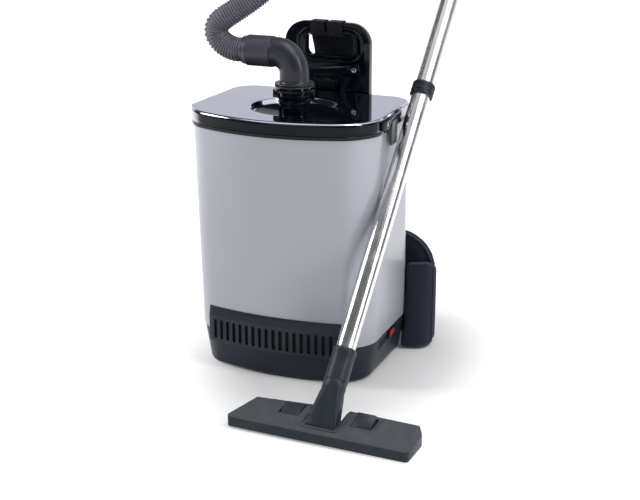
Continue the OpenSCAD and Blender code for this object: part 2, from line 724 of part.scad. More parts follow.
// Extrudes a drawing in X and Z along Y, from y to y + depth
module along_y(y, depth) { translate([0, y + depth, 0]) rotate([90, 0, 0]) linear_extrude(depth) children(); }
module grip_hole(extra) {
    translate([grip_x, grip_z]) polygon(round_rect(grip_w + 2 * extra, grip_h + 2 * extra, grip_r + extra));
}
module carry_plate() machine() translate([plate_x, 0, 0]) color([0.03, 0.03, 0.04]) {
    difference() {
        union() {
            along_y(plate_y, plate_t) polygon(plate_outline());
            along_y(plate_y + plate_t, plate_depth - plate_t) difference() {
                polygon(plate_outline());
                polygon(plate_outline(3));
            }
            along_y(plate_y - lip_out, plate_depth + lip_out - 1) grip_hole(grip_lip);
            for (s = [-1, 1]) translate([s * boss_x, plate_y - 3.5, boss_z]) rotate([-90, 0, 0])
                cylinder(r = 10, h = plate_depth + 3.5);
        }
        along_y(plate_y - 6, plate_depth + 20) grip_hole(0);
        for (s = [-1, 1]) translate([s * boss_x, plate_y - 5, boss_z]) rotate([-90, 0, 0]) {
            cylinder(r = 5.5, h = 6);
            cylinder(r = 2.3, h = plate_depth + 10);
        }
        translate([catch_x - catch_w / 2 - 0.8, plate_y - 5, catch_z - 5])
            cube([catch_w + 1.6, plate_depth, catch_h + 7.5]);
    }
    for (s = [-1, 1]) translate([catch_x + s * (catch_w / 2 + 3.4) - 2.5, plate_y + plate_t, catch_z - 5])
        difference() {
            cube([5, 7, 10]);
            translate([-1, 3.5, 4]) rotate([0, 90, 0]) cylinder(r = 1.5 + run_fit, h = 8);
        }
}
module plate_screws() machine() translate([plate_x, 0, 0]) color([0.78, 0.79, 0.8])
    for (s = [-1, 1]) translate([s * boss_x, plate_y + 0.95, boss_z]) rotate([-90, 0, 0]) difference() {
        union() {
            translate([0, 0, -3]) cylinder(r = 5, h = 3);
            cylinder(r = 2.2, h = plate_depth + 1);
        }
        translate([-0.6, -3.2, -4]) cube([1.2, 6.4, 2.4]);
        translate([-3.2, -0.6, -4]) cube([6.4, 1.2, 2.4]);
    }
catch_pin_z = catch_z - 1;
module plate_catch() machine() translate([plate_x, 0, 0]) color([0.05, 0.05, 0.06]) difference() {
    union() {
        along_y(plate_y - 4, 5) polygon([[catch_x - catch_w / 2 + 6, catch_z + 1], [catch_x + catch_w / 2 - 6, catch_z + 1],
                                       [catch_x + catch_w / 2, catch_z + catch_h], [catch_x - catch_w / 2, catch_z + catch_h]]);
        for (i = [-4 : 4]) translate([catch_x + i * 3.6 - 0.7, plate_y - 5.2, catch_z + 4]) cube([1.4, 2, catch_h - 8]);
        translate([catch_x - catch_w / 2 + 0.5, plate_y + plate_t + 3.5, catch_pin_z]) rotate([0, 90, 0])
            cylinder(r = 3.4, h = catch_w - 1);
        translate([catch_x - 14, plate_y - 1, catch_pin_z - 2]) cube([28, plate_t + 5, 5]);
    }
    translate([catch_x - catch_w, plate_y + plate_t + 3.5, catch_pin_z]) rotate([0, 90, 0])
        cylinder(r = 1.5 + run_fit, h = 2 * catch_w);
}
module catch_pin() machine() translate([plate_x, 0, 0]) color([0.8, 0.8, 0.82])
    translate([catch_x - catch_w / 2 - 5.5, plate_y + plate_t + 3.5, catch_pin_z]) rotate([0, 90, 0])
        cylinder(r = 1.5, h = catch_w + 11);
frame_t = 4;
frame_w = 150;
frame_top = grip_z - grip_h / 2 - 12;
module back_frame() machine() color([0.1, 0.1, 0.12]) translate([plate_x, 0, 0]) {
    low = base_top + 5;
    mid = (low + frame_top) / 2;
    difference() {
        union() {
            along_y(frame_y + seat, frame_t) translate([0, mid]) polygon(round_rect(frame_w, frame_top - low, 24));
            for (s = [-1, 1]) translate([s * 60 - 4, frame_y - 8, low + 20])
                cube([8, 8 + seat + 1, 40]);
        }
        along_y(frame_y - 5, 20) for (z = [-90, 0, 90])
            translate([0, mid + z - 20]) polygon(round_rect(100, 60, 16));
        for (s = [-1, 1]) translate([s * boss_x, frame_y - 5, boss_z]) rotate([-90, 0, 0]) cylinder(r = 2.3, h = 20);
        casing_envelope(seat);
    }
}

// ---- Harness -------------------------------------------------------------
back_y = frame_y + frame_t + 2 * seat;
pad_y = back_y + back_pad_t + seat;
hip_low = 3;
hip_r = 70;
hip_top = hip_low + hip_h;
back_pad_low = 100;
back_pad_top = frame_top - 62;
module back_pad() machine() color([0.1, 0.11, 0.17])
    along_y(back_y, back_pad_t) translate([plate_x, mix(back_pad_low, back_pad_top, 0.5)])
        polygon(round_rect(230, back_pad_top - back_pad_low, 40));
module hip_pad() machine() color([0.1, 0.11, 0.17])
    along_y(pad_y, pad_t) translate([0, hip_low]) polygon(concat(
        [[-hip_w / 2 + 10, 0], [hip_w / 2 - 10, 0], [hip_w / 2, 10]],
        [for (i = [0 : 9]) [hip_w / 2 - hip_r + hip_r * cos(10 * i), hip_h - hip_r + hip_r * sin(10 * i)]],
        [for (i = [0 : 9]) [-hip_w / 2 + hip_r - hip_r * sin(10 * i), hip_h - hip_r + hip_r * cos(10 * i)]],
        [[-hip_w / 2, 10]]));
wing_t = 12;
wing_h = 162;
wing_drop = 21;
wing_y = 106;
// A wing sewn on in front of the hip pad and folded round the casing's rear corner;
// its top edge falls towards the pad
module hip_wing() color([0.11, 0.12, 0.18]) {
    out_x = hip_w / 2 + 7;
    in_x = out_x - wing_t;
    tip_x = base_side_x(base_top) + 2.6;
    back = pad_y - seat;
    high = hip_low + wing_h;
    intersection() {
        translate([0, 0, hip_low]) linear_extrude(wing_h)
            polygon([[in_x, back], [out_x, back], [out_x, wing_y + 12], [out_x - 3, wing_y - 2],
                     [out_x - 9, wing_y - 11], [mix(out_x, tip_x, 0.5), wing_y - 18], [tip_x, wing_y - 27],
                     [tip_x, wing_y - 15], [mix(in_x, tip_x, 0.5), wing_y - 8], [in_x - 3, wing_y],
                     [in_x, wing_y + 12]]);
        along_x(0, hip_w) polygon([[0, 0], [back + 9, 0], [back + 9, high - wing_drop - 4],
                                   [back, high - wing_drop], [wing_y - 6, high], [0, high]]);
    }
}
module hip_wing_right() machine() hip_wing();
module hip_wing_left() machine() mirror([1, 0, 0]) hip_wing();
loop_x = [-18, 14];
loop_t = 2;
module strap_loops() machine() color([0.09, 0.09, 0.11]) {
    bar_d = plate_depth + lip_out + 2 * seat;
    bar_h = grip_bar + 2 * seat;
    for (x = loop_x) translate([x - loop_w / 2, plate_y + (plate_depth - lip_out) / 2, plate_top - grip_bar / 2])
        rotate([90, 0, 90]) linear_extrude(loop_w) difference() {
            polygon(round_rect(bar_d + 2 * loop_t, bar_h + 2 * loop_t, 2.2, 4));
            square([bar_d, bar_h], center = true);
        }
}
// Closed solid swept along points: each ring is the profile turned to the path
function unit(v) = v / norm(v);
function tangent(p, i) = unit(p[min(i + 1, len(p) - 1)] - p[max(i - 1, 0)]);
function square_to(a, t) = unit(a - (a * t) * t);
// The side direction is carried along the path, so the sweep doesn't twist
function carried(p, start) =
    [for (i = 0, a = start; i < len(p); i = i + 1, a = square_to(a, tangent(p, min(i, len(p) - 1))))
        square_to(a, tangent(p, i))];
module swept(p, profile, across, first = 0, last = 0, level = false) {
    n = len(profile);
    m = len(p);
    side = level ? [for (q = p) across] : carried(p, across);
    rings = [for (i = [0 : m - 1])
        let (t = i == 0 && first != 0 ? first : i == m - 1 && last != 0 ? last : tangent(p, i),
             a = square_to(side[i], t), b = cross(t, a))
        for (q = profile) p[i] + q.x * a + q.y * b];
    sides = [for (i = [0 : m - 2]) for (j = [0 : n - 1])
        let (a = i * n + j, b = i * n + (j + 1) % n, c = b + n, d = a + n)
        for (f = [[d, c, a], [c, b, a]]) f];
    ends = [[for (j = [0 : n - 1]) j], [for (j = [n - 1 : -1 : 0]) (m - 1) * n + j]];
    polyhedron(points = rings, faces = concat(sides, ends), convexity = 6);
}
strap_t = 10;
strap_y = pad_y + pad_t + strap_t / 2 + seat;
strap_w = 44;
strap_high = plate_top - 132.3;
strap_mid = hip_top + 39;
strap_path = [[strap_w / 2 + 0.5, frame_y + 8, plate_top - 10.3], [strap_w / 2 + 1, frame_y + 15, plate_top - 29.3],
              [26, frame_y + 27, plate_top - 57.3], [30, frame_y + 39, frame_top - 22.3],
              [36, strap_y + 3, strap_high], [50, strap_y + 6, mix(strap_mid, strap_high, 0.775)],
              [68, strap_y + 6, mix(strap_mid, strap_high, 0.525)],
              [82, strap_y + 4, mix(strap_mid, strap_high, 0.25)], [92, strap_y + 1, strap_mid],
              [100, strap_y, hip_top - 1], [108, strap_y, hip_top - 36], [118, strap_y, hip_top - 66]];
strap_profile = [for (q = [[-1, -1], [1, -1], [1, 1], [-1, 1]]) [q.x * strap_t / 2, q.y * strap_w / 2]];
module shoulder_strap() color([0.1, 0.11, 0.17])
    swept(strap_path, strap_profile, [0, 1, 0], level = true);
module shoulder_strap_right() machine() shoulder_strap();
module shoulder_strap_left() machine() mirror([1, 0, 0]) shoulder_strap();

// ---- Wand ----------------------------------------------------------------
tool_x = lid_front_w / 2 - 21 + tube_r;
tool_y = -297;
pivot_z = 20;
pivot_back = -12;
socket_s = 74;
socket_l = 54;
socket_hold = 30;
lower_s = socket_s + socket_l - socket_hold;
collar_l = 23;
joint_s = lower_s + tube_l;
upper_end = joint_s + 0.3 + tube_l;
pivot_x = tool_x + pivot_back * sin(tool_turn);
pivot_y = tool_y + pivot_back * cos(tool_turn);
module at_wand(s = 0) {
    translate([pivot_x, pivot_y, pivot_z]) rotate([0, 0, -wand_turn]) rotate([-wand_lean, 0, 0])
        translate([0, 0, s]) children();
}
module wand_tube(s) machine() color([0.78, 0.79, 0.8]) at_wand(s) pipe(tube_r, tube_r - tube_wall, tube_l);
module lower_wand() wand_tube(lower_s);
module upper_wand() wand_tube(joint_s + 0.3);
module wand_collar() machine() color([0.04, 0.05, 0.08]) at_wand(joint_s - collar_l / 2)
    pipe(tube_r + 3.6, tube_r + run_fit, collar_l);
module neck_socket() machine() color([0.15, 0.17, 0.22]) at_wand(socket_s) {
    top_r = tube_r + 2.8;
    low_r = tube_r + 3.2;
    turned([[tube_r - 3, 0], [low_r, 0], [low_r, 6], [top_r, socket_l - 2], [top_r - 1, socket_l],
            [tube_r + run_fit, socket_l], [tube_r + run_fit, socket_l - socket_hold - 0.3],
            [tube_r - 3, socket_l - socket_hold - 0.3]]);
}
// Bent handle tube: plugs over the upper wand, bends by bend_angle, ends in the hose
hold_l = 40;
handle_straight = 70;
bend_angle = 40;
bend_r = 80;
grip_l = 120;
handle_spin = 225;
handle_r = tube_r + 1.5;
module at_handle() { at_wand(upper_end - hold_l) rotate([0, 0, handle_spin]) children(); }
module at_handle_end() {
    at_handle() translate([0, 0, hold_l + handle_straight]) translate([bend_r, 0, 0])
        rotate([0, bend_angle, 0]) translate([-bend_r, 0, 0]) children();
}
module handle_core(r, step) {
    translate([0, 0, hold_l + 1]) cylinder(r = r, h = handle_straight - 0.6);
    translate([bend_r, 0, hold_l + handle_straight]) rotate([90, 0, 180])
        rotate_extrude(angle = bend_angle) translate([bend_r, 0]) circle(r = r + step);
}
module handle_tube() machine() color([0.12, 0.13, 0.15]) {
    difference() {
        union() {
            at_handle() cylinder(r = tube_r + 4, h = hold_l + 4);
            at_handle() handle_core(handle_r, -0.3);
            at_handle_end() translate([0, 0, -0.4]) cylinder(r = handle_r, h = grip_l + 0.4);
        }
        at_handle() translate([0, 0, -1]) cylinder(r = tube_r + run_fit, h = hold_l + 1 + seat);
        at_handle() handle_core(handle_r - 2.5, 0.3);
        at_handle_end() translate([0, 0, -0.4]) cylinder(r = handle_r - 2.5, h = grip_l + 2);
        at_handle() translate([0, 0, hold_l + 30]) rotate([0, 90, 180]) cylinder(r = 5, h = 40);
    }
}
module suction_slider() machine() color([0.35, 0.36, 0.38]) at_handle() translate([0, 0, hold_l + 16]) difference() {
    cylinder(r = handle_r + 3, h = 28);
    translate([0, 0, -1]) cylinder(r = handle_r + run_fit, h = 40);
    translate([0, 0, 14]) rotate([0, 90, 130]) cylinder(r = 5, h = 40);
}
end_cuff_l = 50;
end_cuff_s = grip_l - 30;
module hose_end_cuff() machine() color([0.14, 0.15, 0.17]) at_handle_end() translate([0, 0, end_cuff_s])
    turned([[handle_r + run_fit, 0], [handle_r + 4, 0], [handle_r + 4.5, 1.5], [handle_r + 4.5, end_cuff_l - 4],
            [handle_r + 3, end_cuff_l], [hose_r - 4, end_cuff_l], [hose_r - 4, 31], [handle_r + run_fit, 31]]);

// ---- Hose ------------------------------------------------------------------
hose_sides = 10;
wand_dir = [sin(wand_lean) * sin(wand_turn), sin(wand_lean) * cos(wand_turn), cos(wand_lean)];
wand_right = [cos(wand_turn), -sin(wand_turn), 0];
wand_down = [cos(wand_lean) * sin(wand_turn), cos(wand_lean) * cos(wand_turn), -sin(wand_lean)];
bend_dir = cos(handle_spin) * wand_right + sin(handle_spin) * wand_down;
end_dir = cos(bend_angle) * wand_dir + sin(bend_angle) * bend_dir;
bend_end = [pivot_x, pivot_y, pivot_z] + (upper_end + handle_straight) * wand_dir
    + bend_r * (sin(bend_angle) * wand_dir + (1 - cos(bend_angle)) * bend_dir);
hose_end = bend_end + (end_cuff_s + end_cuff_l + run_fit) * end_dir;
// The hose leaves the elbow's cuff, loops up and back, and comes down to the handle's cuff
hose_free = [[-105, -35, 543], [-119, -35, 547], [-132, -35, 555], [-140, -35, 567],
             [-139, -34, 580], [-130, -32, 591], [-117, -28, 600], [-100, -22, 612],
             [-70, -11, 635], [-35, 8, 670], [0, 36, 715], [30, 72, 775], [50, 116, 845],
             [62, 168, 920], [66, 228, 990], [68, 292, 1050], [70, 355, 1098], [76, 412, 1130],
             [90, 455, 1142], [108, 477, 1131]];
hose_path = concat([[cuff_x - cuff_l, inlet_y, arm_z]], hose_free, [hose_end + 26 * end_dir, hose_end]);
module hose() machine() color([0.12, 0.12, 0.14])
    swept(hose_path, [for (i = [0 : hose_sides - 1])
        hose_r * [cos(360 * i / hose_sides), sin(360 * i / hose_sides)]], [0, 1, 0], [-1, 0, 0], -end_dir);

// ---- Floor tool ------------------------------------------------------------
knuckle_r = 11;
knuckle_w = 2 * tube_r + 18;
trunnion_r = 5;
cheek = 6;
recess_w = knuckle_w + 2 * seat;
module at_tool() { translate([tool_x, tool_y, 0]) rotate([0, 0, -tool_turn]) children(); }
function tool_profile(grow) = [
    [-tool_d / 2 - grow, 3], [-tool_d / 2 - grow, tool_front_h - 1 + grow],
    [-tool_d / 2 + 6, tool_front_h + 2.5 + grow], [tool_d / 2 - 18, tool_back_h + grow],
    [tool_d / 2 - 4, tool_back_h - 1 + grow], [tool_d / 2 + grow, tool_back_h - 5 + grow], [tool_d / 2 + grow, 3]];
tool_front_r = 6;
tool_rear_r = 18;
function tool_plan(inset) =
    let (w = tool_w / 2 - inset, d = tool_d / 2 - inset, f = tool_front_r - inset, b = tool_rear_r - inset)
    concat([for (a = [0 : 15 : 90]) [w - b + b * cos(a), d - b + b * sin(a)]],
           [for (a = [90 : 15 : 180]) [-w + b + b * cos(a), d - b + b * sin(a)]],
           [for (a = [180 : 30 : 270]) [-w + f + f * cos(a), -d + f + f * sin(a)]],
           [for (a = [270 : 30 : 360]) [w - f + f * cos(a), -d + f + f * sin(a)]]);
module along_x(x, w) { translate([x, 0, 0]) rotate([90, 0, 90]) linear_extrude(w) children(); }
module tool_block(inset) {
    intersection() {
        along_x(-tool_w / 2, tool_w) polygon(tool_profile(-inset));
        along_y(-tool_d, 2 * tool_d) polygon([
            [-tool_w / 2 + inset, 0], [tool_w / 2 - inset, 0], [tool_w / 2 - inset, tool_front_h],
            [tool_w / 2 - 13 - inset, tool_back_h + 4], [-tool_w / 2 + 13 + inset, tool_back_h + 4],
            [-tool_w / 2 + inset, tool_front_h]]);
        linear_extrude(60) polygon(tool_plan(inset));
    }
}
brush_y = [-31, 16];
brush_lift = 4;
pedal_x = 62;
pedal_d = 30;
pedal_y = 11;
pedal_pin_r = 1.8;
pedal_pin_z = tool_front_h - 4;
wheel_x = tool_w / 2 - 34;
wheel_y = tool_d / 2 - wheel_r - 5;
wheel_w = 10;
axle_r = 1.5;
module tool_shell() machine() at_tool() color([0.15, 0.17, 0.22]) {
    difference() {
        union() {
            difference() {
                tool_block(0);
                tool_block(tool_wall);
                translate([0, 0, -2]) linear_extrude(6) polygon(tool_plan(tool_wall));
            }
            intersection() {
                union() {
                    for (s = [-1, 1]) translate([s * (recess_w / 2 + cheek / 2) - cheek / 2, -tool_d / 2 + 2, 4])
                        cube([cheek, tool_d - 6, 60]);
                    for (s = [-1, 1]) for (e = [-1, 1])
                        translate([s * pedal_x + e * (pedal_w / 2 + 2.5) - 2, pedal_y - pedal_d / 2, tool_front_h - 8])
                            cube([4, 8, 40]);
                    for (s = [-1, 1]) for (e = [-1, 1])
                        translate([s * wheel_x + e * (wheel_w / 2 + 2.3) - 2, tool_d / 2 - 2 * wheel_r - 4, 3.6])
                            cube([4, 2 * wheel_r + 3, 40]);
                }
                tool_block(0.5);
            }
        }
        translate([-recess_w / 2, pivot_back - knuckle_r - 2, 0]) cube([recess_w, tool_d, 60]);
        translate([-50, pivot_back, pivot_z]) rotate([0, 90, 0]) cylinder(r = trunnion_r + run_fit, h = 100);
        for (s = [-1, 1]) translate([s * pedal_x - pedal_w / 2 - 0.5, pedal_y - pedal_d / 2 - 3, 4])
            cube([pedal_w + 1, pedal_d + 3.5, 60]);
        for (y = brush_y) translate([-tool_w / 2 + 12, y - 2.6, 0]) cube([tool_w - 24, 5.2, 9.5 + brush_lift + 0.5]);
        for (s = [-1, 1]) translate([s * pedal_x - pedal_w / 2 - 5, pedal_y - pedal_d / 2 + 4, pedal_pin_z])
            rotate([0, 90, 0]) cylinder(r = pedal_pin_r + run_fit, h = pedal_w + 10);
        for (s = [-1, 1]) translate([s * wheel_x - wheel_w / 2 - 5, wheel_y, wheel_r])
            rotate([0, 90, 0]) cylinder(r = axle_r + run_fit, h = wheel_w + 10);
    }
}
module neck_knuckle() machine() color([0.15, 0.17, 0.22]) {
    difference() {
        union() {
            hull() {
                at_tool_pivot() translate([-knuckle_w / 2, 0, 0]) rotate([0, 90, 0]) cylinder(r = knuckle_r, h = knuckle_w, $fn = 32);
                at_wand(socket_s - 14) cylinder(r = tube_r + 2.4, h = 1, $fn = 32);
            }
            at_wand(socket_s - 14) cylinder(r = tube_r + 3, h = 14 - seat);
            at_wand(socket_s - 1) cylinder(r = tube_r - 3 - run_fit, h = 20);
            at_tool_pivot() translate([-knuckle_w / 2 - cheek, 0, 0]) rotate([0, 90, 0])
                cylinder(r = trunnion_r, h = knuckle_w + 2 * cheek);
        }
        at_wand(-30) cylinder(r = tube_r - 6, h = 140);
    }
}
module at_tool_pivot() { at_tool() translate([0, pivot_back, pivot_z]) children(); }
module sole_plate() machine() at_tool() color([0.7, 0.71, 0.73]) difference() {
    translate([0, 0, 1.2]) linear_extrude(1.6) polygon(tool_plan(4));
    translate([-tool_w / 2 + 18, -11, 0]) cube([tool_w - 36, 14, 6]);
    for (y = brush_y) translate([-tool_w / 2 + 14, y - 3, 0]) cube([tool_w - 28, 6, 6]);
    for (s = [-1, 1]) translate([s * wheel_x - wheel_w / 2 - 4.6, wheel_y - wheel_r - 1, 0])
        cube([wheel_w + 9.2, 2 * wheel_r + 2, 6]);
}
module brush_strips() machine() at_tool() color([0.08, 0.08, 0.09]) {
    difference() {
        for (y = brush_y) translate([-tool_w / 2 + 15, y - 2, 0]) cube([tool_w - 30, 4, 9.5]);
        translate([-recess_w / 2 - 3, 0, -1]) cube([recess_w + 6, tool_d, 20]);
    }
    for (x = [-tool_w / 2 + 15, tool_w / 2 - 30])
        translate([x, brush_y[0] - 2, 7.5]) cube([15, brush_y[1] - brush_y[0] + 4, 2]);
}
module pedal() {
    along_x(-pedal_w / 2, pedal_w) polygon([
        [-pedal_d / 2 + 1, pedal_pin_z - 1.5], [-pedal_d / 2 + 1, pedal_pin_z + 9], [-2, pedal_pin_z + 14],
        [pedal_d / 2, pedal_pin_z + 16.5], [pedal_d / 2, pedal_pin_z + 9], [0, pedal_pin_z - 1.5]]);
    translate([-pedal_w / 2 - 4, -pedal_d / 2 + 4, pedal_pin_z]) rotate([0, 90, 0])
        cylinder(r = pedal_pin_r, h = pedal_w + 8);
}
module pedal_left() machine() at_tool() color([0.15, 0.17, 0.22]) translate([-pedal_x, pedal_y, 0]) pedal();
pedal_swing = 20;
module pedal_right() machine() at_tool() color([0.15, 0.17, 0.22]) translate([pedal_x, pedal_y, 0])
    translate([0, -pedal_d / 2 + 4, pedal_pin_z]) rotate([pedal_swing, 0, 0])
        translate([0, pedal_d / 2 - 4, -pedal_pin_z]) pedal();
module tool_wheels() machine() at_tool() color([0.1, 0.1, 0.11])
    for (s = [-1, 1]) translate([s * wheel_x, wheel_y, wheel_r]) rotate([0, 90, 0]) {
        translate([0, 0, -wheel_w / 2]) cylinder(r = wheel_r, h = wheel_w);
        translate([0, 0, -wheel_w / 2 - 4]) cylinder(r = axle_r, h = wheel_w + 8);
    }

base_housing();
rubber_feet();
exhaust_grille();
exhaust_foam();
casing();
casing_rim();
motor_drum();
motor_deck();
fan_housing();
stator();
motor_bearings();
motor_seal();
motor_shaft();
armature();
fan_wheel();
cloth_filter();
filter_frame();
dust_bag();
bag_collar();
lid();
lid_gasket();
inlet_socket();
lock_ring();
elbow();
hose_cuff();
hose();
latch_brackets();
latch_screws();
latch_pins();
latch_lever_left();
latch_lever_right();
carry_plate();
plate_screws();
plate_catch();
catch_pin();
back_frame();
back_pad();
hip_pad();
hip_wing_left();
hip_wing_right();
strap_loops();
shoulder_strap_left();
shoulder_strap_right();
switch_bezel();
switch_rocker();
cable_inlet();
lower_wand();
wand_collar();
upper_wand();
handle_tube();
suction_slider();
hose_end_cuff();
neck_socket();
neck_knuckle();
tool_shell();
sole_plate();
brush_strips();
pedal_left();
pedal_right();
tool_wheels();
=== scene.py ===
"""Backpack vacuum cleaner: pieces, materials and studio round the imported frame."""

import math
from contextlib import contextmanager

import bpy
from mathutils import Matrix, Vector


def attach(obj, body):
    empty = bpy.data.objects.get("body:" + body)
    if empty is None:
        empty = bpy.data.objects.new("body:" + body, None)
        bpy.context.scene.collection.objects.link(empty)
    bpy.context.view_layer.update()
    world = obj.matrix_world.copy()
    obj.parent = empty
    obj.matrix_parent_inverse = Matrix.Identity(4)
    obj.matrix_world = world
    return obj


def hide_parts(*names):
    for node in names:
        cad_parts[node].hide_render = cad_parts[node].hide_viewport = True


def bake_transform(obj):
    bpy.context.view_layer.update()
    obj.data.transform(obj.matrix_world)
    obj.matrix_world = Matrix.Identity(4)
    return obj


bl_info = {
    "name": "Backpack vacuum cleaner",
    "version": (1, 0, 0),
    "blender": (4, 5, 0),
    "location": "3D View > Sidebar > Vacuum",
    "description": "Models and finishes the pieces of a backpack vacuum cleaner",
    "category": "Object",
}

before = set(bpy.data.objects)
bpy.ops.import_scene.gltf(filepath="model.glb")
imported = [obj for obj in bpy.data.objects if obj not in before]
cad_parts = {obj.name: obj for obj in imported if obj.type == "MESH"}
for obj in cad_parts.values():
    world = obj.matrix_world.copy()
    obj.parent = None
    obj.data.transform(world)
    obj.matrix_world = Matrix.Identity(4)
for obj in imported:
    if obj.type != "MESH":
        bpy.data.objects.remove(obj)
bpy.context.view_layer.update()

# ---- Frames: pieces are drawn in millimetres and stood in the row frame in metres
MACHINE = Matrix.Translation((-0.0590, -0.0751, 0.0)) @ Matrix.Scale(0.001, 4)
X_AXIS, Y_AXIS, Z_AXIS = Vector((1, 0, 0)), Vector((0, 1, 0)), Vector((0, 0, 1))

# Heights over the floor
BASE_LOW, BASE_TOP, CASING_TOP, RIM_TOP = 2.5, 67.0, 432.0, 433.3
LID_Z, LID_TOP = 433.6, 454.3
SOCKET_LOW, SOCKET_TOP = 425.4, 468.3
ELBOW_LOW, ARM_Z = 488.9, 543.3
FOOT_BACK = 15.0
LID_CORNER = 44.0
# Floor tool: half its width and depth, and the corners that its frame shape has
TOOL_HALF_W, TOOL_HALF_D, TOOL_CAD_R = 153, 41, 18
# Rear corners by side. At 62 mm the left roller sticks out of the shell, at rest too: an open fault
REAR_R = {-1: 62.0, 1: 28.0}
TOP_LOW, TOP_RISE, TOP_RUN = 22.5, 8.5, 58
# Grille: its face follows a bulged front; its slots are spread evenly over their span
GRILLE_HALF_W, GRILLE_STEPS = 127, 36
FACE_Y, FACE_BULGE, FACE_W = -99.5, 21, 320
SLOT_COUNT, SLOT_SPAN, SLOT_W, SLOT_L, SLOT_Z = 19, 224, 6, 35.5, 72.3
ELBOW_BEND = 32
FULL_TURN = 6.2832
HOSE_SIDES = 28
INLET = Vector((1.0, -35.0, 0.0))

WAND_LEAN, WAND_TURN = math.radians(39.7), math.radians(4.2)
TOOL_TURN = math.radians(3.2)
PIVOT = (162.33, -308.98, 20.0)
UPPER_END = 1086.3
HANDLE_HOLD = 40.0
BEND_R, BEND_ANGLE = 80.0, math.radians(40)


def moved(x=0.0, y=0.0, z=0.0):
    return Matrix.Translation((x, y, z))


def turned_by(angle, axis):
    return Matrix.Rotation(angle, 4, axis)


WAND = moved(*PIVOT) @ turned_by(-WAND_TURN, "Z") @ turned_by(-WAND_LEAN, "X")
HANDLE = WAND @ moved(z=UPPER_END - HANDLE_HOLD) @ turned_by(math.radians(225), "Z")
HANDLE_END = (
    HANDLE @ moved(BEND_R, 0, HANDLE_HOLD + 70) @ turned_by(BEND_ANGLE, "Y") @ moved(-BEND_R)
)
TOOL = moved(163, -297) @ turned_by(-TOOL_TURN, "Z")
CUFF = moved(-35.3, -35, ARM_Z) @ turned_by(-math.pi / 2, "Y")

# The hose's centreline, in metres in the row frame
HOSE_ROUTE = [
    (-0.1473, -0.1101, 0.5433), (-0.1640, -0.1101, 0.5430), (-0.1780, -0.1101, 0.5470),
    (-0.1910, -0.1101, 0.5550), (-0.1990, -0.1101, 0.5670), (-0.1980, -0.1091, 0.5800),
    (-0.1890, -0.1071, 0.5910), (-0.1760, -0.1031, 0.6000), (-0.1590, -0.0971, 0.6120),
    (-0.1290, -0.0861, 0.6350), (-0.0940, -0.0671, 0.6700), (-0.0590, -0.0391, 0.7150),
    (-0.0290, -0.0031, 0.7750), (-0.0090, 0.0409, 0.8450), (0.0030, 0.0929, 0.9200),
    (0.0070, 0.1529, 0.9900), (0.0090, 0.2169, 1.0500), (0.0110, 0.2799, 1.0980),
    (0.0170, 0.3369, 1.1300), (0.0310, 0.3799, 1.1420), (0.0490, 0.4019, 1.1310),
    (0.0723, 0.4048, 1.1038), (0.0838, 0.4003, 1.0809),
]


FOCAL_PX, PICTURE_W, SENSOR = 1391.5, 640, 36
LEAST_REFLECTED = 0.10


# ---- Sizes and colours that a user may change
def length(name, description, default):
    return bpy.props.FloatProperty(name=name, description=description, default=default, unit="LENGTH")


def colour(name, description, default):
    return bpy.props.FloatVectorProperty(
        name=name, description=description, default=default, subtype="COLOR", min=0, max=1
    )


class VacuumSizes(bpy.types.PropertyGroup):
    """Sizes of the details that the frame leaves open"""

    rib_pitch: length("Rib pitch", "Distance between two ribs of the hose", 0.0046)
    rib_depth: length("Rib depth", "Depth of the groove between two ribs", 0.0019)
    welt: length("Welt", "Radius of the piping on the pads", 0.0024)
    floor_size: length("Floor", "Width of the studio floor", 14.0)


class VacuumColours(bpy.types.PropertyGroup):
    """Colours of the finishes"""

    silver: colour("Silver", "Lacquer of the casing", (0.388, 0.402, 0.447))
    gloss: colour("Gloss black", "Polished mouldings", (0.0030, 0.0045, 0.0088))
    navy: colour("Navy plastic", "Base and grille", (0.0080, 0.0128, 0.0248))
    tool: colour("Tool plastic", "Floor tool", (0.0270, 0.0350, 0.0440))
    neck: colour("Neck plastic", "Neck and pedals of the floor tool", (0.0210, 0.0275, 0.0380))
    dark: colour("Dark plastic", "Elbow, cuffs and handle", (0.0225, 0.0240, 0.0345))
    cuff: colour("Cuff plastic", "Cuffs on the hose's ends", (0.0480, 0.0480, 0.0660))
    grey: colour("Grey plastic", "Latch levers and slider", (0.060, 0.062, 0.070))
    hose: colour("Hose", "Skin of the hose", (0.1420, 0.1350, 0.1700))
    steel: colour("Steel", "Polished tube", (0.80, 0.80, 0.80))
    fabric: colour("Fabric", "Woven navy pads", (0.0110, 0.0140, 0.0235))
    webbing: colour("Webbing", "Black webbing", (0.0055, 0.0060, 0.0085))
    rubber: colour("Rubber", "Feet, wheels and seals", (0.0090, 0.0090, 0.0100))
    switch: colour("Switch", "Red rocker", (0.72, 0.012, 0.035))
    floor: colour("Floor", "Studio floor", (0.76, 0.76, 0.76))


def sizes():
    return bpy.context.scene.vacuum_sizes


def colours():
    return bpy.context.scene.vacuum_colours


# ---- Modelling helpers
def only(obj):
    """Makes obj the one selected and active object"""
    bpy.ops.object.select_all(action="DESELECT")
    obj.select_set(True)
    bpy.context.view_layer.objects.active = obj


def named(name):
    """Names the primitive that was just added and its mesh"""
    obj = bpy.context.active_object
    obj.name = name
    obj.data.name = name
    return obj


@contextmanager
def editing(obj, action="SELECT"):
    """Opens obj in edit mode with everything selected, or nothing with DESELECT"""
    only(obj)
    bpy.ops.object.mode_set(mode="EDIT")
    bpy.ops.mesh.select_mode(type="VERT")
    bpy.ops.mesh.select_all(action=action)
    yield
    bpy.ops.object.mode_set(mode="OBJECT")


def close_up(obj, merge=0.002):
    """Merges the seam of a closed shell and points its faces outwards"""
    with editing(obj):
        bpy.ops.mesh.remove_doubles(threshold=merge)
        bpy.ops.mesh.normals_make_consistent(inside=False)


